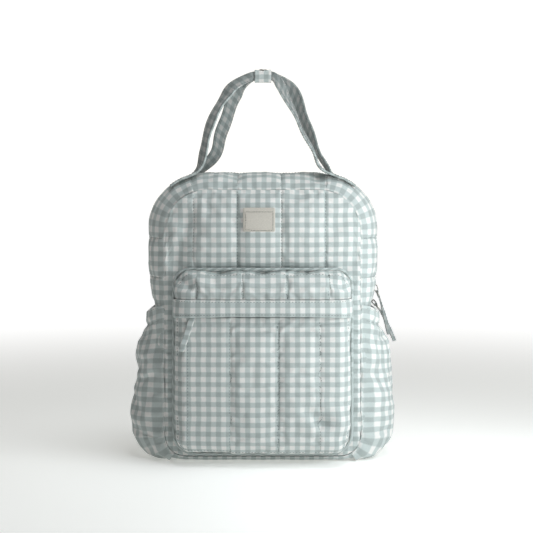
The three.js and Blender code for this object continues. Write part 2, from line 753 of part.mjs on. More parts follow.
function slider() {
  const body = new THREE.BoxGeometry(sliderLength, sliderThick, sliderWidth);
  body.translate(0, sliderThick / 2, 0);
  const radius = lugEye + lugWall;
  const shape = new THREE.Shape();
  shape.absarc(0, eyeHeight, radius, 0, Math.PI);
  shape.lineTo(-radius, sliderThick / 2);
  shape.lineTo(radius, sliderThick / 2);
  shape.holes.push(roundHole(eyeHeight, lugEye));
  const lug = new THREE.ExtrudeGeometry(shape, { depth: lugWidth, bevelEnabled: false, curveSegments: 8 });
  lug.translate(0, 0, -lugWidth / 2);
  return joined(body, lug);
}

// A pull: a loop round the ring and a doubled tail that turns from one heading to another as it falls.
function pull(length, fromHeading, toHeading) {
  const sag = ringRadius - Math.sqrt(ringRadius ** 2 - (pullNeck / 2) ** 2);
  const inner = ringWire + sag + 2 * seamGap;
  const outer = inner + pullPly;
  const steps = 8;
  const left = [];
  const right = [];
  const start = Math.asin(pullPly / outer);
  const here = new THREE.Vector2(Math.sin(degToRad(fromHeading)), -Math.cos(degToRad(fromHeading)));
  here.multiplyScalar(outer * Math.cos(start));
  for (let k = 0; k <= steps; k += 1) {
    const heading = degToRad(lerp(toHeading, fromHeading, (1 - k / steps) ** 2));
    const run = new THREE.Vector2(Math.sin(heading), -Math.cos(heading));
    const side = new THREE.Vector2(-run.y, run.x).multiplyScalar(pullPly);
    left.push(here.clone().sub(side));
    right.push(here.clone().add(side));
    here.addScaledVector(run, length / steps);
  }
  const down = degToRad(fromHeading) - Math.PI / 2;
  const shape = new THREE.Shape(left);
  for (const point of right.reverse()) shape.lineTo(point.x, point.y);
  shape.absarc(0, 0, outer, down + start, down + 2 * Math.PI - start);
  shape.holes.push(roundHole(0, inner));
  const geometry = new THREE.ExtrudeGeometry(shape, { depth: 1, bevelEnabled: false, curveSegments: 8 });
  const corner = geometry.getAttribute("position");
  for (let i = 0; i < corner.count; i += 1) {
    const fall = Math.hypot(corner.getX(i), corner.getY(i)) / outer;
    const width = lerp(pullNeck, pullWidth, smoothstep(fall, 1.2, 5));
    corner.setZ(i, (corner.getZ(i) - 0.5) * width);
  }
  geometry.computeVertexNormals();
  return geometry;
}

const lowerSlider = zipFoot + sliderPark;
const zipPlaces = [
  { name: "upper", above: sliderPitch, round: 16, hang: 16, length: pullLength, from: 36, to: 7 },
  { name: "lower", above: 0, round: 4, hang: 42, length: shortPullLength, from: 50, to: 6 },
];

for (const { name, above, round, hang, length, from, to } of zipPlaces) {
  const height = lowerSlider + above;
  const y = (frontAt(height) + backAt(height)) / 2;
  const teethFace = (z, out) => gussetInner(z, out, 0.5) + seamThick / 2 + tapeThick + teethRise;
  const faceAt = (z) => bodyHalfWidth + sideOffset(z, 0.5, teethFace);
  const [low, high] = [faceAt(height - sliderLength / 2), faceAt(height + sliderLength / 2)];
  const tilt = Math.atan2(high - low, sliderLength);
  const seat = new THREE.Group();
  seat.position.set(Math.max((low + high) / 2, faceAt(height)) + seamGap, y, height);
  seat.rotation.y = tilt;
  const zipSlider = new THREE.Mesh(slider(), darkMetal);
  zipSlider.name = `zip_slider_${name}`;
  zipSlider.quaternion.setFromRotationMatrix(new THREE.Matrix4().makeBasis(upward, rightward, backward));
  seat.add(zipSlider);
  backpack.add(seat);

  const eye = rightward.clone().multiplyScalar(eyeHeight).applyAxisAngle(backward, tilt).add(seat.position);
  const down = new THREE.Vector3(Math.sin(degToRad(hang)), 0, -Math.cos(degToRad(hang)));
  const ringShape = new THREE.TorusGeometry(ringRadius, ringWire, 6, round);
  if (round === 4) ringShape.rotateZ(Math.PI / 4);
  const reach = round === 4 ? ringRadius * Math.SQRT1_2 : ringRadius;
  const ring = addPiece(`zip_ring_${name}`, ringShape, darkMetal);
  ring.position.copy(eye).addScaledVector(down, reach);
  const across = backward.clone().cross(down);
  ring.quaternion.setFromRotationMatrix(new THREE.Matrix4().makeBasis(backward, down, across));

  const pullTab = addPiece(`zip_pull_${name}`, pull(length, from, to), clothTab);
  pullTab.position.copy(eye).addScaledVector(down, 2 * reach);
  pullTab.rotation.x = Math.PI / 2;
}

// Shoulder straps: each leaves the back near its top, arches away from it and ends in webbing
const strapTop = bodyTop - strapTopDrop;
const strapShares = [-0.5, -0.25, 0, 0.25, 0.5];
const backProud = (x, z, width) => Math.max(...strapShares.map((k) => backFace(x + k * width, z)));

function shoulderStrap(side) {
  const cells = 4;
  const steps = 14;
  const x = side * strapSpread;
  const from = new THREE.Vector3(x, backProud(x, strapTop, strapWidth) + seamGap, strapTop);
  const to = new THREE.Vector3(x * strapSplay, backProud(x, strapFoot, strapWidth) + strapArch * 0.3, strapFoot);
  const arch = new THREE.CatmullRomCurve3([
    from,
    new THREE.Vector3(x, from.y + strapArch * 0.25, lerp(strapTop, strapFoot, 0.1)),
    new THREE.Vector3(x * 1.02, from.y + strapArch * 0.9, lerp(strapTop, strapFoot, 0.34)),
    new THREE.Vector3(x * 1.06, from.y + strapArch * 0.95, lerp(strapTop, strapFoot, 0.62)),
    to,
  ]);
  return bentBox(cells, steps, (along, across, through) => {
    const share = 1 - across;
    const point = arch.getPoint(share);
    const run = arch.getTangent(share);
    const normal = new THREE.Vector3(0, -run.z, run.y).normalize();
    const round = Math.min(1, 0.75 + share * 2) * Math.min(1, 0.75 + (1 - share) * 2);
    const crown = strapThick * (0.5 + 0.5 * dome(along, 2.6));
    point.x += (0.5 - along) * strapWidth * round;
    return point.addScaledVector(normal, through * crown);
  });
}

function strapWebbing(side) {
  const steps = 8;
  const footX = side * webbingSpread;
  const headX = side * strapSpread * strapSplay;
  const headY = backProud(side * strapSpread, strapFoot, strapWidth) + strapArch * 0.3 + strapThick / 2;
  const footY = backProud(footX, webbingFoot, webbingWidth) + seamGap;
  return bentBox(1, steps, (along, across, through) => {
    const share = 1 - across;
    const z = lerp(strapFoot - webbingHem, webbingFoot, share);
    const x = lerp(headX, footX, smoothstep(share, 0, 1));
    const seatShare = clamp((z - webbingFoot) / webbingSeat, 0, 1);
    const proud = backProud(x, z, webbingWidth) + seamGap;
    const y = Math.max(proud, lerp(footY, headY, smoothstep(seatShare * 0.5 + (1 - share) * 0.5, 0.2, 1)));
    const wide = 0.5 - along;
    return new THREE.Vector3(x + wide * webbingWidth, y + webbingThick * through, z);
  });
}

for (const [name, side] of [["left", -1], ["right", 1]]) {
  addPiece(`shoulder_strap_${name}`, shoulderStrap(side), sewnFabric);
  addPiece(`webbing_${name}`, strapWebbing(side), webbing);
}

// The origin is in the middle of the base.
const overall = new THREE.Box3().setFromObject(backpack);
const middle = overall.getCenter(new THREE.Vector3());
backpack.position.set(-middle.x, -middle.y, -overall.min.z);

export default backpack;
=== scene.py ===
import math
from itertools import product

import bmesh
import bpy
from mathutils import Matrix, Vector, noise
from mathutils.bvhtree import BVHTree


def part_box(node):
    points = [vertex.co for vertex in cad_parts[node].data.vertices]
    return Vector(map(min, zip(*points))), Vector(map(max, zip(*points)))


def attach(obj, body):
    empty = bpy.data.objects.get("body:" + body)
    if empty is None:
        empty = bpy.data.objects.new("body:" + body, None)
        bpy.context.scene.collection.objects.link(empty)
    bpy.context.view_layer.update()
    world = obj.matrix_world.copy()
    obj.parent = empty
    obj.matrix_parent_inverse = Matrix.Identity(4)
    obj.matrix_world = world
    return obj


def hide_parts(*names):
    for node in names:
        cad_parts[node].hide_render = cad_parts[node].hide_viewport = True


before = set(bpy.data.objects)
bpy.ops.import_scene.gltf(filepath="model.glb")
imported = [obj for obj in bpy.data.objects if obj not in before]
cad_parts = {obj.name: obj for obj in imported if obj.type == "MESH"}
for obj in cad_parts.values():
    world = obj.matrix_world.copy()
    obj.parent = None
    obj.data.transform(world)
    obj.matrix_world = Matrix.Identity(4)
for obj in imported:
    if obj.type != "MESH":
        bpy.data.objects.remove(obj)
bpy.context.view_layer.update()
scene = bpy.context.scene
scene.view_settings.view_transform = "Standard"
print("frame loaded:", len(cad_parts), "nodes")


# Small maths

def lerp(a, b, t):
    return a + (b - a) * t


def clamp(x, low=0.0, high=1.0):
    return max(low, min(high, x))


def smooth(x, low, high):
    t = clamp((x - low) / (high - low))
    return t * t * (3 - 2 * t)


def dome(share, power):
    return 1 - abs(2 * clamp(share) - 1) ** power


def spaced(stops, step):
    out = [stops[0]]
    for a, b in zip(stops, stops[1:]):
        count = max(1, round(abs(b - a) / step))
        out += [lerp(a, b, k / count) for k in range(1, count + 1)]
    return out


def rounded(points, s):
    last = len(points) - 1
    k = min(int(clamp(s) * last), last - 1)
    t = clamp(s) * last - k
    a, b, c, d = (points[clamp(k + n, 0, last)] for n in (-1, 0, 1, 2))
    bend, twist = a * 2 - b * 5 + c * 4 - d, b * 3 - a - c * 3 + d
    return b + (c - a) * (0.5 * t) + bend * (0.5 * t * t) + twist * (0.5 * t ** 3)


def roundOver(distance, radius):  # a quarter circle: 0 at an edge, 1 a radius away
    return math.sqrt(1 - (1 - clamp(distance / radius)) ** 2)


def seamStops(low, seams, high, edges=(True, True)):  # close rows beside each seam and edge, so that it stays crisp
    near = [0, 0.0011, 0.0028, 0.0055]
    stops = [low + d for d in (near if edges[0] else [0])]
    for seam in seams:
        stops += [seam + side * d for side in (-1, 1) for d in near[:3]]
    stops += [high - d for d in (near if edges[1] else [0])]
    out = []
    for stop in sorted(stops):
        if low <= stop <= high and (not out or stop - out[-1] > 0.0004):
            out.append(stop)
    return out


def tableAt(rows, x):
    for (x0, y0), (x1, y1) in zip(rows, rows[1:]):
        if x <= x1:
            return lerp(y0, y1, smooth(x, x0, x1) if x0 != x1 else 0)
    return rows[-1][1]


# The bag's own sizes, in metres, as its solids have them; x is from its middle

frontLow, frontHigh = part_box("front_panel")
baseLow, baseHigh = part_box("gusset_bottom")
home = Vector(((frontLow.x + frontHigh.x) / 2, (baseLow.y + baseHigh.y) / 2, 0))
bag = {
    "halfWidth": 0.131,
    "foot": 0.009,
    "top": 0.366,
    "footCorner": 0.028,
    "topCorner": 0.056,
    "depth": 0.140,
    "frontLean": 0.018,
    "backLean": 0.004,
    "strip": 0.126,
    "zipFoot": 0.205,
    "wall": 0.003,
    "padding": 0.004,
    "seamRoll": 0.0022,
    "seamRound": 0.0055,
    "floorClear": 0.0004,
}
channels = [-0.093, -0.034, 0.025, 0.084]


class SeamLine:
    def __init__(self, halfWidth, foot, top, footCorner, topCorner):
        self.halfWidth, self.foot, self.top = halfWidth, foot, top
        self.footCorner, self.topCorner = footCorner, topCorner
        self.middle = (foot + top) / 2

    def topAt(self, x):
        past = max(0, abs(x) - (self.halfWidth - self.topCorner))
        return self.top - self.topCorner + math.sqrt(max(0, self.topCorner ** 2 - past ** 2))

    def footAt(self, x):
        past = max(0, abs(x) - (self.halfWidth - self.footCorner))
        return self.foot + self.footCorner - math.sqrt(max(0, self.footCorner ** 2 - past ** 2))

    def past(self, x, z):
        radius = self.topCorner if z > self.middle else self.footCorner
        return radius, abs(x) - (self.halfWidth - radius), abs(z - self.middle) - (self.top - self.middle - radius)

    def inset(self, x, z):
        radius, pastX, pastZ = self.past(x, z)
        return radius - math.hypot(max(pastX, 0), max(pastZ, 0)) - min(max(pastX, pastZ), 0)

    def outward(self, x, z):
        _, pastX, pastZ = self.past(x, z)
        way = Vector((math.copysign(max(pastX, 0), x), math.copysign(max(pastZ, 0), z - self.middle)))
        if pastX <= 0 and pastZ <= 0:
            way = Vector((math.copysign(1, x), 0)) if pastX > pastZ else Vector((0, math.copysign(1, z - self.middle)))
        return way.normalized()


bodyLine = SeamLine(bag["halfWidth"], bag["foot"], bag["top"], bag["footCorner"], bag["topCorner"])


def frontAt(z):
    return -bag["depth"] / 2 + bag["frontLean"] * (max(z, 0) / bag["top"]) ** 1.5


def backAt(z):
    return bag["depth"] / 2 - bag["backLean"] * (max(z, 0) / bag["top"]) ** 1.5


# The seam's path round the bag: from the right zip end over the top, down the left side and back under the base

class Rim:
    def __init__(self, line, start):
        half, top, foot = line.halfWidth, line.top, line.foot
        a, b = line.topCorner, line.footCorner
        quarter = math.pi / 2
        self.legs = [
            {"from": (half, start), "way": (0, 1), "length": top - a - start},
            {"centre": (half - a, top - a), "radius": a, "angle": 0, "length": a * quarter},
            {"from": (half - a, top), "way": (-1, 0), "length": 2 * (half - a)},
            {"centre": (a - half, top - a), "radius": a, "angle": quarter, "length": a * quarter},
            {"from": (-half, top - a), "way": (0, -1), "length": top - a - foot - b},
            {"centre": (b - half, foot + b), "radius": b, "angle": 2 * quarter, "length": b * quarter},
            {"from": (b - half, foot), "way": (1, 0), "length": 2 * (half - b)},
            {"centre": (half - b, foot + b), "radius": b, "angle": 3 * quarter, "length": b * quarter},
            {"from": (half, foot + b), "way": (0, 1), "length": start - foot - b},
        ]
        self.length = sum(leg["length"] for leg in self.legs)
        self.upper = sum(leg["length"] for leg in self.legs[:4]) + top - a - start

    def at(self, s):
        for leg in self.legs:
            if s <= leg["length"] or leg is self.legs[-1]:
                break
            s -= leg["length"]
        if "centre" in leg:
            angle = leg["angle"] + s / leg["radius"]
            out = Vector((math.cos(angle), math.sin(angle)))
            return Vector(leg["centre"]) + out * leg["radius"], out
        way = Vector(leg["way"])
        return Vector(leg["from"]) + way * s, Vector((way.y, -way.x))


rim = Rim(bodyLine, bag["zipFoot"])


def gussetOffset(z, out, t, quilt):
    under = max(0, -out.y) ** 2
    waist = 0.010 * math.exp(-(((z - 0.195) / 0.035) ** 2))
    bulge = out.x ** 2 * (0.020 - waist) + max(0, out.y) ** 2 * 0.017 + under * 0.0026
    thick = bag["wall"] + bag["padding"] * dome(t, lerp(3, 8, under)) * lerp(0.35, 1, quilt)
    return bulge * dome(t, lerp(2.4, 8, under)) + thick


def overRim(place, out, t, offset):
    y = lerp(frontAt(place.y), backAt(place.y), t)
    return Vector((place.x + out.x * offset, y, max(0.0002, place.y + out.y * offset)))


def linked(name, bm, smoothShade=True):
    mesh = bpy.data.meshes.new(name)
    bm.to_mesh(mesh)
    bm.free()
    if smoothShade:
        mesh.shade_smooth()
    piece = bpy.data.objects.new(name, mesh)
    scene.collection.objects.link(piece)
    return piece


def newPiece(name, bm, smoothShade=True):
    bmesh.ops.recalc_face_normals(bm, faces=bm.faces)
    return linked(name, bm, smoothShade)


def cube(bm, centre, size, turn=Matrix()):
    bmesh.ops.create_cube(bm, size=1, matrix=Matrix.Translation(centre) @ turn @ Matrix.Diagonal((*size, 1)))


def soften(bm, edges, offset, segments=2):
    bmesh.ops.bevel(bm, geom=edges, offset=offset, affect="EDGES", segments=segments, profile=0.5, material=-1)


# Sheets: a grid bent into place. The UV is the cloth's own flat measure in metres, so a woven pattern keeps its size

def makeSheet(name, columns, rows, place, flat=None, sewn=None, start=(0, 0)):
    bm = bmesh.new()
    bmesh.ops.create_grid(bm, x_segments=len(columns) - 1, y_segments=len(rows) - 1, size=0.5)
    uvLayer = bm.loops.layers.uv.new("weave")
    across, up = len(columns) - 1, len(rows) - 1
    cell = {v: (round((v.co.x + 0.5) * across), round((v.co.y + 0.5) * up)) for v in bm.verts}
    grid = {}
    for v, key in cell.items():
        v.co = place(columns[key[0]], rows[key[1]])
        grid[key] = v.co
    measure = {}
    for j in range(len(rows)):
        u = 0
        for i in range(len(columns)):
            u += (grid[i, j] - grid[i - 1, j]).length if i else 0
            measure[i, j] = [u, 0]
        middle = u / 2
        for i in range(len(columns)):
            measure[i, j][0] -= middle
    for i in range(len(columns)):
        w = 0
        for j in range(len(rows)):
            w += (grid[i, j] - grid[i, j - 1]).length if j else 0
            measure[i, j][1] = w
    for face in bm.faces:
        for loop in face.loops:
            i, j = cell[loop.vert]
            u, w = flat(columns[i], rows[j]) if flat else measure[i, j]
            loop[uvLayer].uv = (u + start[0], w + start[1])
    for v in bm.verts:
        v.co += home
    bm.verts.index_update()
    pins = [v.index for v, (i, j) in cell.items() if sewn and sewn(columns[i], rows[j])]
    return linked(name, bm), pins


cloth = {
    "frames": 22,
    "mass": 0.0006,
    "stiffness": 40,
    "bending": 0.02,
    "quality": 5,
}


def settle(piece, pins, pressure, growth, cap):
    group = piece.vertex_groups.new(name="sewn")
    group.add(pins, 1.0, "REPLACE")
    modifier = piece.modifiers.new("cloth", "CLOTH")
    settings = modifier.settings
    settings.quality = cloth["quality"]
    settings.mass = cloth["mass"]
    settings.tension_stiffness = settings.compression_stiffness = cloth["stiffness"]
    settings.shear_stiffness = cloth["stiffness"] / 4
    settings.bending_stiffness = cloth["bending"]
    settings.use_pressure = True
    settings.uniform_pressure_force = pressure
    settings.vertex_group_mass = "sewn"
    settings.shrink_min = settings.shrink_max = -growth
    settings.effector_weights.gravity = 0
    modifier.collision_settings.use_collision = False
    rest = [v.co.copy() for v in piece.data.vertices]
    for step in range(1, cloth["frames"] + 1):
        scene.frame_set(step)
    posed = piece.evaluated_get(bpy.context.evaluated_depsgraph_get())
    moved = [v.co.copy() for v in posed.data.vertices]
    piece.modifiers.remove(modifier)
    scene.frame_set(1)
    far = 0
    for vertex, start, end in zip(piece.data.vertices, rest, moved):
        step = end - start
        far = max(far, step.length)
        vertex.co = start + step * (cap / max(cap, step.length))
        vertex.co.z = max(vertex.co.z, bag["floorClear"])
    print("settled", piece.name, "furthest", round(far * 1000, 1), "mm")


# The gathers beside a row of quilting: how far the cloth moves out at a distance from it
quilting = {"groove": 0.0012, "grooveWide": 0.0014, "pucker": 0.0014, "puckerWide": 0.0066, "puckerPitch": 0.0072}


def puckerAt(across, along, seams):
    move = 0
    for k, seam in enumerate(seams):
        d = across - seam
        if abs(d) > 0.03:
            continue
        side = 11.3 if d > 0 else 4.7
        drift = 2.4 * noise.noise(Vector((along * 28, side + 7.1 * k, 0.3)))
        strong = 0.65 + 0.9 * noise.noise(Vector((along * 45, 3.1 * k - side, 2.2)))
        ruck = strong * math.sin(2 * math.pi * (along + abs(d) * 0.6) / quilting["puckerPitch"] + drift + side)
        reach = math.exp(-((d / quilting["puckerWide"]) ** 2)) * (1 - math.exp(-((d / 0.0018) ** 2)))
        groove = quilting["groove"] * math.exp(-((d / quilting["grooveWide"]) ** 2))
        move += quilting["pucker"] * 1.6 * ruck * reach - groove
    return move


# Small folds that a simulation leaves out; what is sewn takes only the gathers and the folds named one by one
def crumple(piece, pins, depth, size, folds=(), ruck=None, free=None):
    held = set(pins)
    normals = [v.normal.copy() for v in piece.data.vertices]
    for vertex, normal in zip(piece.data.vertices, normals):
        place = vertex.co - home
        move = 0
        if vertex.index not in held:
            move = depth * noise.noise(place / size) + 0.5 * depth * noise.noise(place / size * 2.3)
        if ruck:
            move += ruck(place)
        for fold in folds:
            a, b = Vector(fold["from"]), Vector(fold["to"])
            here = Vector((place.x, place.z)) if "face" not in fold else Vector((place.y, place.z))
            share = clamp((here - a).dot(b - a) / (b - a).length_squared)
            away = (here - a.lerp(b, share)).length
            deep = fold["deep"] * (free(place) if free else 1)
            move -= deep * math.exp(-((away / fold["broad"]) ** 2)) * dome(0.08 + 0.84 * share, 2)
        vertex.co += normal * move
        vertex.co.z = max(vertex.co.z, bag["floorClear"])


def dress(piece, material, nodes=(), thick=0.0014, levels=1, offset=-1):
    piece.data.materials.append(material)
    if thick:
        wall = piece.modifiers.new("wall", "SOLIDIFY")
        wall.thickness, wall.offset = thick, offset
    if levels:
        finer = piece.modifiers.new("finer", "SUBSURF")
        finer.levels = finer.render_levels = levels
    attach(piece, "root")
    if nodes:
        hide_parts(*nodes)
    return piece


def join(bm, other):
    shape = bpy.data.meshes.new("joined")
    other.to_mesh(shape)
    other.free()
    bm.from_mesh(shape)
    bpy.data.meshes.remove(shape)


def surfaceOf(*pieces):
    graph = bpy.context.evaluated_depsgraph_get()
    return [BVHTree.FromObject(piece, graph) for piece in pieces]


def nearest(trees, point):
    hits = [tree.find_nearest(point) for tree in trees]
    return min((hit for hit in hits if hit[0]), key=lambda hit: hit[3])


# Materials: a little shader maths, then the finishes

class Value:
    def __init__(self, build, out):
        self.build, self.out = build, out

    def math(self, operation, other=0.0):
        return self.build.add("ShaderNodeMath", {0: self, 1: other}, operation=operation)

    def __add__(self, other):
        return self.math("ADD", other)

    def __sub__(self, other):
        return self.math("SUBTRACT", other)

    def __mul__(self, other):
        return self.math("MULTIPLY", other)


class Nodes:
    def __init__(self, tree):
        self.tree = tree

    def add(self, kind, inputs, output=0, **settings):
        node = self.tree.nodes.new(kind)
        for key, value in settings.items():
            setattr(node, key, value)
        for key, value in inputs.items():
            if isinstance(value, Value):
                self.tree.links.new(value.out, node.inputs[key])
            else:
                node.inputs[key].default_value = value
        return Value(self, node.outputs[output])


class Finish(Nodes):
    def __init__(self, name, roughness, **constants):
        self.material = bpy.data.materials.new(name)
        self.material.use_nodes = True
        super().__init__(self.material.node_tree)
        self.shader = self.tree.nodes["Principled BSDF"]
        self.shader.inputs["Roughness"].default_value = roughness
        for key, value in constants.items():
            self.shader.inputs[key].default_value = value

    def to(self, name, value):
        self.tree.links.new(value.out, self.shader.inputs[name])

    def uv(self):
        where = self.add("ShaderNodeUVMap", {}, uv_map="weave")
        return [self.add("ShaderNodeSeparateXYZ", {0: where}, k) for k in (0, 1)]

    def objectPlace(self):
        return self.add("ShaderNodeTexCoord", {}, "Object")

    def noise(self, scale, detail=2.0, roughness=0.5):
        inputs = {"Vector": self.objectPlace(), "Scale": scale, "Detail": detail, "Roughness": roughness}
        return self.add("ShaderNodeTexNoise", inputs)

    def mix(self, share, a, b):
        return self.add("ShaderNodeMix", {0: share, 6: a, 7: b}, 2, data_type="RGBA")

    def bump(self, height, distance, strength=1.0, under=None):
        inputs = {"Height": height, "Distance": distance, "Strength": strength}
        if under:
            inputs["Normal"] = under
        return self.add("ShaderNodeBump", inputs)


gingham = {
    "period": 0.0130,
    "edge": 0.0011,
    "share": 0.50,
    "white": (0.73, 0.722, 0.705),
    "single": (0.477, 0.530, 0.523),
    "double": (0.350, 0.394, 0.388),
    "thread": 0.00055,
    "roughness": 0.86,
}


def ginghamFinish(name, tone=1.0):
    finish = Finish(name, gingham["roughness"], **{"Sheen Weight": 0.12, "Sheen Roughness": 0.5})
    u, w = finish.uv()
    wobble = (finish.noise(260, 2) - 0.5) * 0.0007
    bands = []
    for along in (u + wobble, w - wobble):
        wave = (along * (1 / gingham["period"])).math("PINGPONG", 0.5)
        sharp = gingham["period"] / gingham["edge"] / 2
        band = (wave - 0.5 * (1 - gingham["share"])) * (2 * sharp) + 0.5
        bands.append(band.math("MINIMUM", 1.0).math("MAXIMUM", 0.0))
    a, b = bands
    threads = [(along * (2 * math.pi / gingham["thread"])).math("SINE") for along in (u, w)]
    weave = threads[0] * threads[1]
    # A tone below 1 darkens the whole print, which makes a copy with painted shade
    colours = [(*[c * tone for c in gingham[key]], 1) for key in ("white", "single", "double")]
    low = finish.mix(a, colours[0], colours[1])
    high = finish.mix(a, colours[1], colours[2])
    base = finish.mix(b, low, high)
    slub = finish.noise(900, 1) * 0.16 + 0.92
    shade = finish.add("ShaderNodeVectorMath", {0: base, "Scale": slub}, operation="SCALE")
    finish.to("Base Color", shade)
    fine = finish.bump(weave, 0.00006, 0.5)
    soft = finish.bump(finish.noise(120, 3, 0.55), 0.0006, 0.5, fine)
    finish.to("Normal", soft)
    return finish.material


def plainCloth(name, colour, thread, depth, roughness=0.85):
    finish = Finish(name, roughness)
    u, w = finish.uv()
    ribs = [(along * (2 * math.pi / thread)).math("SINE") for along in (u, w)]
    tone = finish.noise(600, 2) * 0.24 + 0.88
    base = finish.add("ShaderNodeVectorMath", {0: (*colour,), "Scale": tone}, operation="SCALE")
    finish.to("Base Color", base)
    finish.to("Normal", finish.bump(ribs[0] * ribs[1], depth, 0.8))
    return finish.material


def metal(name, colour, roughness):
    finish = Finish(name, roughness, **{"Metallic": 1.0, "Base Color": (*colour, 1)})
    finish.to("Roughness", finish.noise(400, 2) * 0.2 + (roughness - 0.1))
    return finish.material


def threadFinish(name, colour):
    finish = Finish(name, 0.6)
    finish.to("Base Color", finish.mix(finish.noise(1500, 1), (*colour, 1), (*[c * 0.8 for c in colour], 1)))
    return finish.material


quiltCloth = ginghamFinish("quiltCloth")
# A darker copy of the gingham at tone 0.56: painted shade, used on the handles' inner faces and on the zip pulls
paintedShadeCloth = ginghamFinish("paintedShadeCloth", 0.56)
tapeCloth = plainCloth("tapeCloth", (0.50, 0.56, 0.55), 0.0009, 0.0001)
webCloth = plainCloth("webCloth", (0.52, 0.57, 0.56), 0.0016, 0.00025)
labelWeave = plainCloth("labelWeave", (0.59, 0.560, 0.505), 0.0008, 0.00012)
gunMetal = metal("gunMetal", (0.36, 0.35, 0.33), 0.35)
seamThread = threadFinish("seamThread", (0.22, 0.255, 0.25))
labelThread = threadFinish("labelThread", (0.15, 0.145, 0.125))
zipTeeth = plainCloth("zipTeeth", (0.46, 0.52, 0.51), 0.0009, 0.00002, 0.45)
print("materials made")


# Stitches: short rounded lengths of thread laid on a surface

stitch = {"pitch": 0.0042, "length": 0.0027, "thick": 0.00042}
labelStitch = {"pitch": 0.0020, "length": 0.0013, "thick": 0.00042}


def stitchRow(bm, trees, points, kind):
    lengths = [0]
    for a, b in zip(points, points[1:]):
        lengths.append(lengths[-1] + (b - a).length)
    count = int(lengths[-1] / kind["pitch"])
    k = 0
    run = bmesh.new()
    for n in range(count):
        ends = []
        for along in (n * kind["pitch"], n * kind["pitch"] + kind["length"]):
            while k < len(lengths) - 2 and lengths[k + 1] < along:
                k += 1
            share = (along - lengths[k]) / max(1e-9, lengths[k + 1] - lengths[k])
            spot, normal, *_ = nearest(trees, points[k].lerp(points[k + 1], share) + home)
            ends.append(spot)
        way = ends[1] - ends[0]
        if way.length < 0.0004:
            continue
        turn = way.to_track_quat("Z", "Y").to_matrix().to_4x4()
        size = Matrix.Diagonal((kind["thick"], kind["thick"], way.length / 2, 1))
        place = Matrix.Translation((ends[0] + ends[1]) / 2 + normal * kind["thick"] * 0.25)
        bmesh.ops.create_uvsphere(run, u_segments=6, v_segments=4, radius=1, matrix=place @ turn @ size)
    join(bm, run)


def sew(name, seams, material=seamThread, kind=stitch):
    rows = bmesh.new()
    for trees, line in seams:
        stitchRow(rows, trees, line, kind)
    dress(newPiece(name, rows), material, thick=0, levels=0)


# Front panel: quilted channels over the flat that stands behind the pocket

front = {
    "swell": 0.015,
    "puff": 0.0024,
    "cell": 0.0042,
    "rowCell": 0.0026,
    "pocketClear": 0.261,
    "rimRuck": 0.0009,
    "rimPitch": 0.0085,
    "pressure": 6,
    "growth": 0.03,
    "cap": 0.0036,
}


def channelPuff(x, seams, reach, power=2.2):
    lines = [-reach, *seams, reach]
    for a, b in zip(lines, lines[1:]):
        if x <= b:
            return dome((x - a) / (b - a), power)
    return 0


def arcColumns(corner, half, angles):
    return [half - corner * (1 - math.cos(math.radians(a))) for a in angles]


def panelColumns(line, seams, cell, angles=(0, 9, 16, 22, 28, 34)):
    arcs = arcColumns(line.topCorner, line.halfWidth, angles)
    inner = arcs[-1]
    middle = spaced(seamStops(-inner, [x for x in seams if abs(x) < inner - cell / 2], inner, (False, False)), cell)
    return [-x for x in arcs[:-1]] + middle + arcs[-2::-1]


def frontFace(x, z):
    tall = clamp((z - front["pocketClear"]) / (bag["top"] - front["pocketClear"]))
    wide = (x / bag["halfWidth"] + 1) / 2
    inset = bodyLine.inset(x, z)
    swell = front["swell"] * dome(wide, 2.2) * dome(tall, 2.6)
    puff = front["puff"] * channelPuff(x, channels, bag["halfWidth"])
    puff *= smooth(tall, 0, 0.2) * smooth(inset, 0, 0.015)
    return frontAt(z) - swell - puff + bag["seamRoll"] * (1 - roundOver(inset, bag["seamRound"]))


def frontPlace(x, share):
    z = lerp(bodyLine.footAt(x), bodyLine.topAt(x), share)
    return Vector((x, frontFace(x, z), z))


frontColumns = panelColumns(bodyLine, channels, front["cell"])
bodyHeight = bag["top"] - bag["foot"]
frontRows = [z / bodyHeight for z in spaced(seamStops(0, [], bodyHeight), front["rowCell"])]
pocketLine = SeamLine(0.117, 0.015, 0.258, 0.026, 0.020)


def behindPocket(x, z):
    return z < pocketLine.top and pocketLine.inset(x, z) > 0.006


def frontSewn(x, share):
    z = lerp(bodyLine.footAt(x), bodyLine.topAt(x), share)
    onSeam = any(abs(x - s) < 1e-6 for s in channels) and z > 0.25
    return share < 1e-6 or share > 1 - 1e-6 or abs(x) > bag["halfWidth"] - 1e-6 or onSeam or behindPocket(x, z)


frontPanel, pins = makeSheet("frontPanel", frontColumns, frontRows, frontPlace,
                             lambda x, v: (x, lerp(bodyLine.footAt(x), bodyLine.topAt(x), v)), frontSewn)
settle(frontPanel, pins, front["pressure"], front["growth"], front["cap"])


def rimRuck(x, z, inset):  # small gathers just inside the seam round a panel
    along = math.atan2(z - 0.19, x) * 0.16
    wave = math.sin(2 * math.pi * along / front["rimPitch"] + 2.5 * noise.noise(Vector((along * 30, 1.7, 0.2))))
    return front["rimRuck"] * wave * math.exp(-(((inset - 0.0045) / 0.0035) ** 2))


def frontRuck(place):
    inset = bodyLine.inset(place.x, place.z)
    seams = puckerAt(place.x, place.z, channels) * smooth(place.z, 0.258, 0.266) * smooth(inset, 0, 0.006)
    return seams + rimRuck(place.x, place.z, inset)


crumple(frontPanel, pins, 0.0004, 0.016, [
    {"from": (-0.124, 0.252), "to": (-0.096, 0.335), "deep": 0.004, "broad": 0.008},
    {"from": (-0.112, 0.21), "to": (-0.082, 0.30), "deep": -0.0025, "broad": 0.011},
], frontRuck)
dress(frontPanel, quiltCloth, ["front_panel"])
print("front panel made")


# Gusset: a strip each side of the main zip over the top, and one wide strip down the sides and under the base

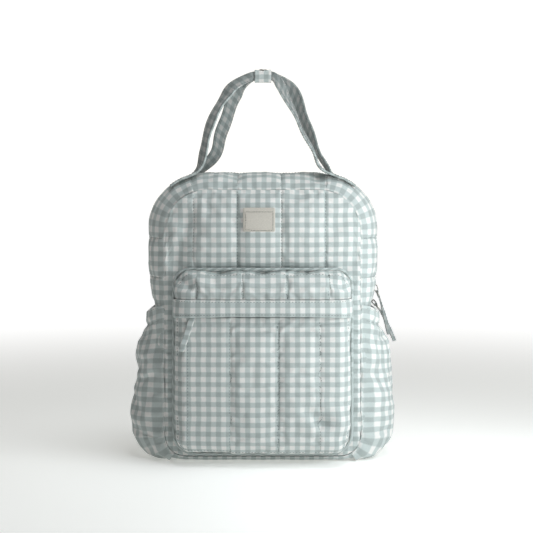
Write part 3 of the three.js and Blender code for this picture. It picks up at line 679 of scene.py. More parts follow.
gusset = {
    "zipHalf": 0.0078,
    "cell": 0.0044,
    "sideSeams": [0.213, 0.248, 0.301],
    "flatten": 0.6,
    "pressure": 4.5,
    "growth": 0.025,
    "cap": 0.0028,
    "baseCell": 0.006,
    "baseGrowth": 0.02,
    "baseCap": 0.003,
}


def rimSeams(low, high):
    out = []
    steps = 4000
    for k in range(1, steps):
        s0, s1 = (lerp(low, high, n / steps) for n in (k - 1, k))
        a, b = rim.at(s0)[0], rim.at(s1)[0]
        onSide = any((a.y - z) * (b.y - z) <= 0 and a.y != b.y for z in gusset["sideSeams"]) and abs(a.x) > 0.12
        onTop = any((a.x - x) * (b.x - x) <= 0 and a.x != b.x for x in channels) and abs(a.y - 0.19) > 0.1
        if (onSide or onTop) and low + 0.012 < s1 < high - 0.012 and (not out or s1 - out[-1] > 0.01):
            out.append(s1)
    return out


def rimQuilt(s, seams, low, high):
    lines = [low - 0.02, *seams, high + 0.02]
    for a, b in zip(lines, lines[1:]):
        if s <= b:
            return lerp(gusset["flatten"], 1, dome((s - a) / (b - a), 2.4))
    return 1


def gussetSheet(name, low, high, t0, t1, seams, rolls, step):
    def place(t, s):
        spot, out = rim.at(s)
        span = backAt(spot.y) - frontAt(spot.y)
        roll = bag["seamRoll"] * 0.96
        edge = min(t * span if rolls[0] else 1, (1 - t) * span if rolls[1] else 1) - roll
        across = clamp((t * span - roll) / (span - 2 * roll))
        offset = gussetOffset(spot.y, out, across, rimQuilt(s, seams, low, high))
        return overRim(spot, out, t, offset - bag["wall"] * (1 - roundOver(edge, bag["seamRound"])))

    def flat(t, s):
        spot = rim.at(s)[0]
        return t * (backAt(spot.y) - frontAt(spot.y)), s

    inset = bag["seamRoll"] * 0.96 / bag["strip"]
    t0, t1 = t0 + inset * rolls[0], t1 - inset * rolls[1]
    columns = [x / bag["strip"] for x in spaced(seamStops(t0 * bag["strip"], [], t1 * bag["strip"], rolls), step)]
    columns[0], columns[-1] = t0, t1
    rows = spaced(seamStops(low, seams, high, (False, False)), step)

    def held(t, s):
        return t in (t0, t1) or s in (low, high) or s in seams or rim.at(s)[1].y < -0.5

    return makeSheet(name, columns, rows, place, flat, held)


def crossRuck(place):  # gathers beside the seams that cross the gusset
    spot = Vector((place.x, place.z))
    if abs(spot.x) > 0.12 and spot.y > 0.2:
        return 0.6 * puckerAt(spot.y, place.y, gusset["sideSeams"])
    return 0.6 * puckerAt(spot.x, place.y, channels) if spot.y > 0.34 else 0


def awayFromSeams(place):  # folds die out before the seams at the front and back, and before the zip
    edges = (frontAt(place.z), backAt(place.z))
    near = min(place.y - edges[0], edges[1] - place.y, abs(place.y - sum(edges) / 2) - gusset["zipHalf"])
    return smooth(near, 0.001, 0.011)


zipShare = gusset["zipHalf"] / bag["strip"]
upperSeams = rimSeams(0, rim.upper)
lowerSeams = rimSeams(rim.upper, rim.length)
topFolds = [
    {"from": (-0.075, 0.372), "to": (-0.05, 0.388), "deep": -0.0025, "broad": 0.007},
    {"from": (-0.118, 0.352), "to": (-0.100, 0.372), "deep": 0.0035, "broad": 0.006},
    {"from": (0.03, 0.376), "to": (0.09, 0.380), "deep": 0.002, "broad": 0.006},
    {"from": (-0.03, 0.374), "to": (0.02, 0.385), "deep": -0.002, "broad": 0.006},
    {"from": (-0.045, 0.386), "to": (-0.01, 0.372), "deep": 0.0022, "broad": 0.004},
    {"from": (0.06, 0.388), "to": (0.10, 0.368), "deep": 0.0022, "broad": 0.005},
]
for name, node, span, rolls in [
    ("gussetTopFront", "gusset_top_front", (0, 0.5 - zipShare), (True, False)),
    ("gussetTopBack", "gusset_top_back", (0.5 + zipShare, 1), (False, True)),
]:
    strip, pins = gussetSheet(name, 0, rim.upper, *span, upperSeams, rolls, gusset["cell"])
    settle(strip, pins, gusset["pressure"], gusset["growth"], gusset["cap"])
    crumple(strip, pins, 0.0007, 0.013, topFolds, crossRuck, awayFromSeams)
    dress(strip, quiltCloth, [node])
gussetBottom, pins = gussetSheet("gussetBottom", rim.upper, rim.length, 0, 1, lowerSeams, (True, True),
                                 gusset["baseCell"])
settle(gussetBottom, pins, gusset["pressure"] / 2, gusset["baseGrowth"], gusset["baseCap"])
dress(gussetBottom, quiltCloth, ["gusset_bottom"])
print("gusset made,", len(upperSeams), "seams over the top")


# Back panel

back = {"swell": 0.005, "puff": 0.003, "cell": 0.0055, "pressure": 7, "growth": 0.03, "cap": 0.004}


def backFace(x, z):
    tall = clamp((z - bag["foot"]) / (bag["top"] - bag["foot"]))
    wide = (x / bag["halfWidth"] + 1) / 2
    inset = bodyLine.inset(x, z)
    puff = back["puff"] * channelPuff(x, channels, bag["halfWidth"]) * smooth(inset, 0, 0.015)
    roll = bag["seamRoll"] * (1 - roundOver(inset, bag["seamRound"]))
    return backAt(z) + back["swell"] * dome(wide, 3) * dome(tall, 4) + puff - roll


def backPlace(x, share):
    z = lerp(bodyLine.footAt(-x), bodyLine.topAt(-x), share)
    return Vector((-x, backFace(-x, z), z))


def backSewn(x, share):
    onSeam = any(abs(x + s) < 1e-6 for s in channels)
    return share in (0, 1) or abs(x) > bag["halfWidth"] - 1e-6 or onSeam


backColumns = panelColumns(bodyLine, [-x for x in reversed(channels)], back["cell"])
backRows = [z / bodyHeight for z in spaced(seamStops(0, [], bodyHeight), back["cell"])]
backPanel, pins = makeSheet("backPanel", backColumns, backRows, backPlace,
                            lambda x, v: (x, lerp(bodyLine.footAt(x), bodyLine.topAt(x), v)), backSewn)
settle(backPanel, pins, back["pressure"], back["growth"], back["cap"])
crumple(backPanel, pins, 0.0005, 0.016, (), lambda place: puckerAt(place.x, place.z, channels))
dress(backPanel, quiltCloth, ["back_panel"])
print("back panel made")


# Main zip: tape, and its teeth in two rows that mesh

mainZip = {"pitch": 0.0026, "toothLong": 0.0026, "toothWide": 0.0015, "toothHigh": 0.0013, "tapeThick": 0.0014}


def tapeOffset(place, out):
    return gussetOffset(place.y, out, 0.5, 1) - bag["padding"] - bag["wall"] / 2 + mainZip["tapeThick"]


def tapePlace(t, s):
    spot, out = rim.at(s)
    return overRim(spot, out, t, tapeOffset(spot, out))


tapeEdge = (gusset["zipHalf"] + 0.003) / bag["strip"]
tape, _ = makeSheet("mainZipTape", spaced([0.5 - tapeEdge, 0.5 + tapeEdge], 0.003 / bag["strip"]),
                    spaced([0, rim.upper], 0.006), tapePlace)
dress(tape, tapeCloth, ["main_zip"], thick=0.0009)

toothShape = bmesh.new()
for k in range(int(rim.upper / mainZip["pitch"])):
    s = (k + 0.5) * mainZip["pitch"]
    spot, out = rim.at(s)
    ahead, _ = rim.at(s + 0.001)
    side = 1 if k % 2 else -1
    run = Vector((ahead.x - spot.x, 0, ahead.y - spot.y)).normalized()
    outward = Vector((out.x, 0, out.y))
    centre = overRim(spot, out, 0.5, tapeOffset(spot, out) + mainZip["toothHigh"] / 2) + Vector((0, side * 0.0008, 0))
    turn = Matrix((run, Vector((0, 1, 0)), outward)).transposed().to_4x4()
    cube(toothShape, centre + home, (mainZip["toothWide"], mainZip["toothLong"], mainZip["toothHigh"]), turn)
soften(toothShape, toothShape.edges, 0.00025, 1)
dress(newPiece("mainZipTeeth", toothShape, False), zipTeeth, thick=0, levels=0)
print("main zip made")


# Front pocket: a padded shell, its band, its lower panel, and a flap over the zip between them

pocket = {
    "depth": 0.033,
    "round": 0.022,
    "square": 2.5,
    "puff": 0.0024,
    "swell": 0.004,
    "cell": 0.0038,
    "rowCell": 0.0026,
    "bandFoot": 0.221,
    "zipFoot": 0.207,
    "panelTop": 0.1984,
    "panelSeams": [-0.0985, -0.0425, 0.0205, 0.0755],
    "bandSeams": [-0.0875, -0.0265, 0.032, 0.088],
    "panelPressure": 5.5,
    "bandPressure": 10,
    "bandGrowth": 0.06,
    "growth": 0.03,
    "cap": 0.0038,
}


def shellRise(share):
    return (1 - (1 - share) ** pocket["square"]) ** (1 / pocket["square"])


def wrapExtra(inset):
    if inset >= pocket["round"]:
        return 0
    length, last = 0, Vector((pocket["round"], pocket["depth"]))
    for k in range(1, 9):
        d = lerp(pocket["round"], inset, k / 8)
        share = clamp(d / pocket["round"])
        here = Vector((d, pocket["depth"] * shellRise(share)))
        length += (here - last).length
        last = here
    return length - (pocket["round"] - inset)


def pocketDepthAt(x, z):
    share = clamp(pocketLine.inset(x, z) / pocket["round"])
    return pocket["depth"] * shellRise(share), share


def pocketFlat(x, z):
    out = pocketLine.outward(x, z)
    extra = wrapExtra(pocketLine.inset(x, z))
    return x + out.x * extra, z + out.y * extra


def pocketPlace(x, z, seams, low, high):
    depth, share = pocketDepthAt(x, z)
    edge = min(z - low, high - z)
    puff = pocket["puff"] * channelPuff(x, seams, pocketLine.halfWidth) * smooth(edge, 0, 0.015) * share
    swell = pocket["swell"] * dome((x / pocketLine.halfWidth + 1) / 2, 2.2) * share
    return Vector((x, frontAt(z) - depth - puff - swell, z))


def pocketSheet(name, low, high, rowShares, seams):
    arcs = arcColumns(pocket["round"], pocketLine.halfWidth, (0, 10, 20, 30, 40, 50, 60, 70, 80))
    inner = pocketLine.halfWidth - pocket["round"]
    between = [x for x in seams if abs(x) < inner - 0.002]
    corner = [x for x in seams if abs(x) >= inner - 0.002]
    sides = sorted([-x for x in arcs] + arcs + corner)
    left = [x for x in sides if x < -inner + 1e-4]
    right = [x for x in sides if x > inner - 1e-4]
    columns = left + spaced(seamStops(-inner, between, inner, (False, False))[1:-1], pocket["cell"]) + right
    columns = [x for k, x in enumerate(columns) if k == 0 or x - columns[k - 1] > 0.0003]

    def place(x, v):
        return pocketPlace(x, lerp(low(x), high(x), v), seams, low(x), high(x))

    def flat(x, v):
        return pocketFlat(x, lerp(low(x), high(x), v))

    def sewn(x, v):
        onSeam = any(abs(x - s) < 1e-6 for s in seams)
        return v < 1e-6 or v > 1 - 1e-6 or abs(x) > pocketLine.halfWidth - 1e-6 or onSeam

    return makeSheet(name, columns, rowShares, place, flat, sewn)


def steepShares(height, atFoot):
    steps = [1 - math.cos(math.radians(a)) for a in (0, 11, 22, 33, 44, 55, 66, 78)]
    near = [pocket["round"] / height * s for s in steps]
    rest = spaced([near[-1], 1], pocket["rowCell"] / height)[1:]
    shares = near + rest
    return shares if atFoot else [1 - s for s in reversed(shares)]


panelHeight = pocket["panelTop"] - pocketLine.foot
bandHeight = pocketLine.top - pocket["bandFoot"]
panel, pins = pocketSheet("pocketPanel", pocketLine.footAt, lambda x: pocket["panelTop"],
                          steepShares(panelHeight, True), pocket["panelSeams"])
settle(panel, pins, pocket["panelPressure"], pocket["growth"], pocket["cap"])


def shellRuck(seams, low, high):
    def ruck(place):
        _, share = pocketDepthAt(place.x, place.z)
        hem = math.exp(-(((pocketLine.inset(place.x, place.z) - 0.0052) / 0.0016) ** 2))
        clear = smooth(min(place.z - low, high - place.z), 0, 0.006)
        return puckerAt(place.x, place.z, seams) * share * clear - 0.0010 * hem
    return ruck


crumple(panel, pins, 0.0003, 0.014, [
    {"from": (0.052, 0.082), "to": (0.110, 0.030), "deep": 0.0060, "broad": 0.006},
    {"from": (0.070, 0.095), "to": (0.112, 0.052), "deep": -0.0035, "broad": 0.007},
    {"from": (0.060, 0.055), "to": (0.100, 0.024), "deep": -0.0035, "broad": 0.009},
    {"from": (0.045, 0.125), "to": (0.095, 0.118), "deep": 0.0018, "broad": 0.005},
], shellRuck(pocket["panelSeams"], 0.010, pocket["panelTop"]))
dress(panel, quiltCloth, ["front_pocket_panel"])

band, pins = pocketSheet("pocketBand", lambda x: pocket["bandFoot"], pocketLine.topAt,
                         steepShares(bandHeight, False), pocket["bandSeams"])
settle(band, pins, pocket["bandPressure"], pocket["bandGrowth"], pocket["cap"])
crumple(band, pins, 0.0005, 0.012, [
    {"from": (-0.112, 0.250), "to": (-0.088, 0.233), "deep": 0.006, "broad": 0.006},
    {"from": (-0.100, 0.254), "to": (-0.078, 0.246), "deep": -0.0025, "broad": 0.006},
    {"from": (-0.070, 0.250), "to": (-0.050, 0.232), "deep": 0.0022, "broad": 0.006},
    {"from": (0.086, 0.228), "to": (0.112, 0.250), "deep": 0.002, "broad": 0.005},
], shellRuck(pocket["bandSeams"], pocket["bandFoot"], 0.27))
dress(band, quiltCloth, ["front_pocket_band"])

hem = {"wide": 0.0021, "high": 0.0032, "out": 0.0019, "sides": 12}
pocketRim = Rim(pocketLine, 0.12)


def hemPlace(angle, s):
    spot, out = pocketRim.at(s)
    a = angle * 2 * math.pi
    spot = spot + out * (hem["out"] + hem["wide"] * math.cos(a))
    lift = hem["high"] * (0.85 + math.sin(a)) + 0.0003 * math.sin(s * 90)
    skin = nearest(frontSurface, Vector((spot.x, -0.08, spot.y)) + home)[0].y - home.y
    return Vector((spot.x, min(skin, frontAt(spot.y)) - lift, spot.y))


frontSurface = surfaceOf(frontPanel)
hemPiece, _ = makeSheet("pocketHem", spaced([1, 0], 1 / hem["sides"]), spaced([0, pocketRim.length], 0.003), hemPlace)
dress(hemPiece, quiltCloth, thick=0)
print("pocket hem made")

flap = {"height": 0.0215, "standOff": 0.0062, "thick": 0.0022, "clear": 0.0012, "droop": 0.0030}
flapFoot = pocket["bandFoot"] - flap["height"]


def overPocket(x, z, away):
    depth, share = pocketDepthAt(x, z)
    aside, rise = 1 - share, math.sqrt(1 - (1 - share) ** 2)
    return Vector((x + math.copysign(away * aside, x), frontAt(z) - depth - away * rise, z))


def flapPlace(x, v):
    ends = 1 - abs(x / pocketLine.halfWidth) ** 6
    sag = -flap["droop"] * abs(x / pocketLine.halfWidth) ** 3 * (1 - v)
    z = lerp(flapFoot + sag, pocket["bandFoot"] + 0.0008, v)
    ripple = 0.0009 * math.sin(x * 160 + 2 * math.sin(x * 47)) * (1 - v) * ends
    belly = 0.0016 * dome(v, 2) * ends
    swell = pocket["swell"] * dome((x / pocketLine.halfWidth + 1) / 2, 2.2)
    stand = flap["standOff"] * (1 - v) ** 0.7 * ends
    return overPocket(x, z, swell + flap["clear"] + flap["thick"] + stand + ripple + belly)


flapColumns = [-x for x in arcColumns(pocket["round"], pocketLine.halfWidth, (0, 12, 24, 36, 48, 60, 72))]
flapColumns += spaced([flapColumns[-1], -flapColumns[-1]], 0.005)[1:-1] + [-x for x in reversed(flapColumns)]
flapPiece, _ = makeSheet("pocketFlap", flapColumns, spaced([0, 1], 0.14), flapPlace,
                         lambda x, v: pocketFlat(x, lerp(flapFoot, pocket["bandFoot"], v)))
dress(flapPiece, quiltCloth, ["front_pocket_placket"], thick=flap["thick"])

zipRows = spaced([pocket["zipFoot"] - 0.001, pocket["bandFoot"] + 0.001], 0.004)
zipSheet, _ = makeSheet("pocketZipTape", flapColumns, zipRows, lambda x, z: overPocket(x, z, -0.0004))
dress(zipSheet, tapeCloth, ["front_pocket_zip"], thick=0.0009)
pocketTeeth = bmesh.new()
for k in range(-37, 38):
    middle = (pocket["zipFoot"] + pocket["bandFoot"]) / 2 + (0.0008 if k % 2 else -0.0008)
    spot = overPocket(k * 0.0026, middle, -0.0008)
    cube(pocketTeeth, spot + home, (mainZip["toothWide"], mainZip["toothHigh"], mainZip["toothLong"]))
dress(newPiece("pocketZipTeeth", pocketTeeth, False), zipTeeth, thick=0, levels=0)
print("front pocket made")


# Side pockets: pouches round the gusset, drawn in by elastic at the mouth

pouch = {
    "mouthTop": 0.213,
    "mouthDip": 0.014,
    "foot": 0.037,
    "tall": 0.17,
    "under": 0.029,
    "bulge": 0.019,
    "wall": 0.003,
    "edge": 0.019,
    "edgeRound": 0.009,
    "casing": 0.020,
    "pleats": 13,
    "pleatDeep": 0.0012,
    "draw": 0.0038,
    "cell": 0.0042,
    "pressure": 8,
    "growth": 0.05,
    "cap": 0.007,
    "stand": [(-1, 0), (-0.5, 0.5), (0, 0.84), (0.14, 0.98), (0.3, 0.82), (0.45, 0.66), (0.6, 0.6), (0.72, 0.5),
              (0.79, 0.41), (0.86, 0.4), (0.93, 0.41), (1, 0.42)],
}
casingFoot = 1 - pouch["casing"] / pouch["tall"]
cornerTurn = math.acos(1 - (bag["halfWidth"] - 0.1179) / bag["footCorner"])


def pouchPlace(side, t, q):
    wide = clamp((t - pouch["edge"]) / (1 - 2 * pouch["edge"]))
    mouth = pouch["mouthTop"] - pouch["mouthDip"] * dome(t, 2)
    if q >= 0:
        spot, out = Vector((bag["halfWidth"], lerp(pouch["foot"], mouth, q))), Vector((1, 0))
    else:
        angle = q * cornerTurn
        out = Vector((math.cos(angle), math.sin(angle)))
        spot = Vector((bag["halfWidth"] - bag["footCorner"], pouch["foot"])) + out * bag["footCorner"]
    tall = clamp((spot.y - pouch["foot"]) / (pouch["mouthTop"] - pouch["foot"]))
    casing = (mouth - spot.y) / pouch["casing"]
    phase = 2 * math.pi * (pouch["pleats"] * wide + 0.5 * math.sin(wide * 9 + side) + 0.15 * math.sin(casing * 3))
    deep = pouch["pleatDeep"] * smooth(casing, 4.6, 1.1) if casing > 1 else pouch["pleatDeep"] * 0.8
    deep *= min(1, dome(wide, 8))
    draw = pouch["draw"] * math.exp(-(((casing - 1) / 0.16) ** 2)) * min(1, dome(wide, 8))
    bulge = pouch["bulge"] * tableAt(pouch["stand"], q)
    offset = gussetOffset(spot.y, out, t, 1) + 0.0003 + bulge * dome(wide, 2.8) + deep * (1 + math.sin(phase)) - draw
    away = roundOver(min(wide, 1 - wide) * 0.122, pouch["edgeRound"])
    place = overRim(spot, out, t, lerp(0.0002, offset + pouch["wall"], away))
    return Vector((place.x * side, place.y, place.z))


def makePouch(name, side, folds):
    edges = (pouch["edge"], 1 - pouch["edge"])
    low, high = (edge * bag["strip"] for edge in edges)
    columns = [x / bag["strip"] for x in spaced(seamStops(low, [], high), pouch["cell"] * 0.8)]
    columns[0], columns[-1] = edges
    rows = spaced([-1, 0, casingFoot, 1], pouch["cell"] / pouch["tall"])
    if side < 0:
        columns.reverse()

    def sewn(t, q):
        return t in edges or q <= -1 or q >= 1 or abs(q - casingFoot) < 1e-6

    def flat(t, q):
        return side * t * bag["strip"], q * (pouch["tall"] if q > 0 else pouch["under"])

    piece, pins = makeSheet(name, columns, rows, lambda t, q: pouchPlace(side, t, q), flat, sewn)
    settle(piece, pins, pouch["pressure"], pouch["growth"], pouch["cap"])
    crumple(piece, pins, 0.0006, 0.016, folds)
    return piece


leftFolds = [
    {"face": 1, "from": (-0.05, 0.055), "to": (0.0, 0.11), "deep": 0.006, "broad": 0.012},
    {"face": 1, "from": (-0.06, 0.03), "to": (-0.02, 0.045), "deep": 0.004, "broad": 0.008},
    {"face": 1, "from": (-0.03, 0.14), "to": (0.02, 0.10), "deep": 0.003, "broad": 0.010},
]
rightFolds = [
    {"face": 1, "from": (-0.05, 0.17), "to": (-0.02, 0.12), "deep": 0.003, "broad": 0.009},
    {"face": 1, "from": (-0.03, 0.16), "to": (0.0, 0.10), "deep": 0.0025, "broad": 0.010},
    {"face": 1, "from": (-0.055, 0.07), "to": (-0.01, 0.05), "deep": 0.0025, "broad": 0.009},
]
for name, side, node, folds in [("sidePocketLeft", -1, "side_pocket_left", leftFolds),
                                ("sidePocketRight", 1, "side_pocket_right", rightFolds)]:
    piece = makePouch(name, side, folds)
    dress(piece, quiltCloth, [node], thick=pouch["wall"] * 0.9)
print("side pockets made")


# Handles: a flat doubled strip each side, meeting face to face in the grip

handle = {
    "width": 0.022,
    "thick": 0.0032,
    "bunchWidth": 0.0114,
    "bunchThick": 0.0044,
    "setback": 0.25,
    "seat": (50, 72),
    "gripHeight": 0.522,
    "gripLength": 0.023,
    "gripWall": 0.0024,
    "front": [(0.08, 0.88, 0.80, 18, 4), (0.25, 0.81, 0.69, 28, 6), (0.44, 0.76, 0.55, 30, 8),
              (0.62, 0.66, 0.43, 30, 12), (0.79, 0.53, 0.32, 36, 24), (0.91, 0.39, 0.24, 58, 56)],
    "back": [(0.10, 0.83, 0.90, 26, 8), (0.25, 0.66, 0.77, 44, 18), (0.44, 0.59, 0.66, 46, 28),
             (0.62, 0.50, 0.55, 46, 38), (0.79, 0.41, 0.45, 52, 54), (0.91, 0.31, 0.35, 70, 72)],
}


def shoulderPoint(degrees, side, t):
    angle = math.radians(degrees)
    out = Vector((math.cos(angle), math.sin(angle)))
    spot = Vector((bag["halfWidth"] - bag["topCorner"], bag["top"] - bag["topCorner"])) + out * bag["topCorner"]
    place = overRim(spot, out, t, gussetOffset(spot.y, out, t, 0.8) + 0.0008 + handle["thick"] / 2)
    return Vector((place.x * side, place.y, place.z))


def handleLine(name, facing):
    t = handle["setback"] if facing < 0 else 1 - handle["setback"]
    bunchY = facing * (handle["bunchThick"] + 0.0003) / 2
    sides = []
    for side in (-1, 1):
        rows = [(shoulderPoint(lerp(*handle["seat"], k / 3), side, t), 0, 0) for k in range(4)]
        lift = rows[-1][0]
        for up, left, right, leftTurn, rightTurn in handle[name]:
            x = (left if side < 0 else right) * lift.x
            turn = leftTurn if side < 0 else rightTurn
            spot = Vector((x, lerp(lift.y, bunchY, up ** 1.3), lerp(lift.z, handle["gripHeight"], up)))
            rows.append((spot, -facing * turn, up))
        mouth = Vector((side * (handle["gripLength"] / 2 + handle["gripWall"]), bunchY, handle["gripHeight"]))
        rows.append((mouth, -facing * 90, 1))
        sides.append(rows)
    middle = (Vector((0, bunchY, handle["gripHeight"] + 0.0004)), -facing * 90, 1)
    return sides[0] + [middle] + sides[1][::-1]


def handlePiece(name, facing, node):
    rows = handleLine(name, facing)
    spots, turns, ups = ([row[k] for row in rows] for k in range(3))

    def place(wide, s):
        here = rounded(spots, s)
        run = (rounded(spots, s + 0.004) - rounded(spots, s - 0.004)).normalized()
        turn, up = rounded(turns, s), clamp(rounded(ups, s))
        edge = (Vector((0, 1, 0)) - run * run.y).normalized()
        edge = Matrix.Rotation(math.radians(turn), 3, run) @ edge
        bunch = smooth(up, 0.8, 1)
        width = lerp(handle["width"], handle["bunchWidth"], bunch)
        curl = (0.0012 * math.sin(s * 31 + facing) + 0.0016 * bunch) * (1 - (2 * wide) ** 2)
        wave = 0.0008 * math.sin(s * 70 + facing * 2 + wide * 2) * min(1, 6 * up) * (1 - bunch)
        return here + edge * wide * width + run.cross(edge) * (curl + wave) * (1 if 0 < up < 1 else 0)

    columns = [-0.5, -0.42, -0.3, -0.1, 0.1, 0.3, 0.42, 0.5]
    rows = spaced([0, 1], 1 / 130)
    piece, _ = makeSheet(f"handle{name.title()}", columns, rows, place, start=(0.0045, 0.003))
    # One face of each handle, meant as its inner face, takes the darker copy of the gingham: painted shade, as that
    # face lies in shadow
    dress(piece, quiltCloth if facing < 0 else paintedShadeCloth, [node], thick=handle["thick"], offset=0)
    piece.data.materials.append(paintedShadeCloth if facing < 0 else quiltCloth)
    piece.modifiers["wall"].material_offset = 1
    return piece, place


handles = [handlePiece("front", -1, "handle_front"), handlePiece("back", 1, "handle_back")]
print("handles made")


# Grip: a wrap of the same cloth, closed by a snap on top

grip = {"wallHigh": 0.0168, "wallDeep": 0.0142, "sag": 0.0012}
gripCentre = Vector((0, 0, handle["gripHeight"]))


def gripPlace(angle, x):
    a = angle * 2 * math.pi
    power = 0.42
    c, s = math.cos(a), math.sin(a)
    y = grip["wallDeep"] / 2 * math.copysign(abs(c) ** power, c)
    z = grip["wallHigh"] / 2 * math.copysign(abs(s) ** power, s)
    flare = 1 + 0.05 * (2 * x / handle["gripLength"]) ** 2
    dip = grip["sag"] * math.exp(-((x / 0.006) ** 2)) * max(0, s) ** 3
    return gripCentre + Vector((x, y * flare, z * flare - dip))


wrapRows = spaced([-handle["gripLength"] / 2, handle["gripLength"] / 2], 0.0024)
wrap, _ = makeSheet("gripWrap", spaced([0.25, 1.25], 1 / 40), wrapRows, gripPlace, start=(0.006, 0.0035))
weld = wrap.modifiers.new("weld", "WELD")
weld.merge_threshold = 0.0002
dress(wrap, quiltCloth, ["handle_grip"], thick=0.0020)

snap = bmesh.new()
profile = [(0.0, 0.0016), (0.0028, 0.0015), (0.0050, 0.0010), (0.0061, 0.0002), (0.0062, -0.0006)]
ring = [snap.verts.new((r, 0, h)) for r, h in profile]
edges = [snap.edges.new(pair) for pair in zip(ring, ring[1:])]
bmesh.ops.spin(snap, geom=ring + edges, cent=(0, 0, 0), axis=(0, 0, 1), angle=2 * math.pi, steps=32, use_merge=True)
bmesh.ops.remove_doubles(snap, verts=snap.verts, dist=0.00001)
bmesh.ops.holes_fill(snap, edges=snap.edges)
bmesh.ops.translate(snap, verts=snap.verts, vec=home + gripCentre + Vector((0, 0, grip["wallHigh"] / 2 - 0.0003)))
dress(newPiece("gripSnap", snap), gunMetal, thick=0, levels=0)
print("grip made")


# Label: a plain woven patch with stitches round its edge

label = {"width": 0.043, "height": 0.032, "x": -0.005, "top": 0.342, "thick": 0.0009, "margin": 0.0022}


def labelPlace(x, z):
    around = [(dx, dz) for dx in (-0.009, 0, 0.009) for dz in (-0.007, 0, 0.007)]
    spots = [nearest(frontSurface, Vector((x + dx, -0.085, z + dz)) + home)[0].y for dx, dz in around]
    y = sum(spots) / len(spots) - home.y
    return Vector((x, min(y, min(spots) - home.y + 0.0012) - 0.0008, z))


labelColumns = spaced([label["x"] - label["width"] / 2, label["x"] + label["width"] / 2], 0.003)
labelRows = spaced([label["top"] - label["height"], label["top"]], 0.003)
labelPiece, _ = makeSheet("labelPatch", labelColumns, labelRows, labelPlace)
dress(labelPiece, labelWeave, ["label"], thick=label["thick"])
print("label made")


# Shoulder straps behind, and their webbing

strap = {
    "width": 0.056,
    "thick": 0.010,
    "spread": 0.054,
    "top": 0.338,
    "foot": 0.142,
    "arch": 0.030,
    "splay": 1.12,
    "webWidth": 0.025,
    "webThick": 0.0018,
    "webSpread": 0.100,
    "webFoot": 0.044,
    "webSeat": 0.024,
}


def backProud(x, z, width):
    return max(backFace(x + k * width, z) for k in (-0.5, -0.25, 0, 0.25, 0.5))


def strapPiece(side):
    x = side * strap["spread"]
    top, foot, arch = strap["top"], strap["foot"], strap["arch"]
    near = backProud(x, top, strap["width"]) + 0.0006
    path = [
        Vector((x, near, top)),
        Vector((x, near + arch * 0.25, lerp(top, foot, 0.1))),
        Vector((x * 1.02, near + arch * 0.9, lerp(top, foot, 0.34))),
        Vector((x * 1.06, near + arch * 0.95, lerp(top, foot, 0.62))),
        Vector((x * strap["splay"], backProud(x, foot, strap["width"]) + arch * 0.3, foot)),
    ]

    def place(wide, s):
        here = rounded(path, s)
        run = (rounded(path, s + 0.01) - rounded(path, s - 0.01)).normalized()
        normal = Vector((0, -run.z, run.y)).normalized()
        width = strap["width"] * min(1, 0.75 + s * 2) * min(1, 0.75 + (1 - s) * 2) - strap["thick"] * 0.5
        ripple = 0.0010 * math.sin(s * 60 + side) * dome(wide + 0.5, 2)
        crown = strap["thick"] * (0.42 + 0.14 * dome(wide + 0.5, 2.6)) + ripple
        return Vector((here.x - wide * width, here.y, here.z)) + normal * crown

    name = "Left" if side < 0 else "Right"
    piece, _ = makeSheet(f"shoulderStrap{name}", spaced([-0.5, 0.5], 0.09), spaced([1, 0], 0.022), place)
    dress(piece, quiltCloth, [f"shoulder_strap_{name.lower()}"], thick=strap["thick"] * 0.82,
          offset=0, levels=2)
    return piece, place


def webbingPiece(side):
    headX = side * strap["spread"] * strap["splay"]
    footX = side * strap["webSpread"]
    headY = backProud(side * strap["spread"], strap["foot"], strap["width"]) + strap["arch"] * 0.3 + strap["thick"] / 2
    footY = backProud(footX, strap["webFoot"], strap["webWidth"]) + 0.0006

    def place(wide, s):
        z = lerp(strap["foot"] + 0.006, strap["webFoot"], s)
        x = lerp(headX, footX, smooth(s, 0, 1))
        seat = clamp((z - strap["webFoot"]) / strap["webSeat"])
        proud = backProud(x, z, strap["webWidth"]) + 0.0006
        y = max(proud, lerp(footY, headY, smooth(seat * 0.5 + (1 - s) * 0.5, 0.2, 1)))
        return Vector((x - wide * strap["webWidth"], y + strap["webThick"] / 2, z))

    name = "Left" if side < 0 else "Right"
    piece, _ = makeSheet(f"webbing{name}", spaced([-0.5, 0.5], 0.2), spaced([1, 0], 0.05), place)
    dress(piece, webCloth, [f"webbing_{name.lower()}"], thick=strap["webThick"], offset=0)


straps = [strapPiece(side) for side in (-1, 1)]
for side in (-1, 1):
    webbingPiece(side)
print("shoulder straps made")


# Zip sliders on the right side, with a round ring above and a square one below, and their long cloth pulls

slider = {
    "length": 0.012,
    "width": 0.008,
    "plate": 0.0010,
    "gap": 0.0010,
    "ringRadius": 0.005,
    "wire": 0.00075,
    "eyeHeight": 0.0046,
    "pullWidth": 0.009,
    "pullNeck": 0.0046,
    "pullPly": 0.0012,
    "clip": (0.0030, 0.0062, 0.0052),
    "upper": {"round": True, "hang": 16, "face": 32, "long": 0.062, "headings": (20, 13), "side": -0.0010, "twist": 34},
    "lower": {"round": False, "hang": 38, "face": 34, "long": 0.058, "headings": (36, 22), "side": 0.0030, "twist": 30},
}


def ringTurn(down, face):  # a ring's own frame: it hangs along down, and its plane is turned to the front by face
    side = Matrix.Rotation(math.radians(face), 3, down) @ Vector((0, 1, 0))
    return Matrix((side, down, side.cross(down).normalized())).transposed().to_4x4()


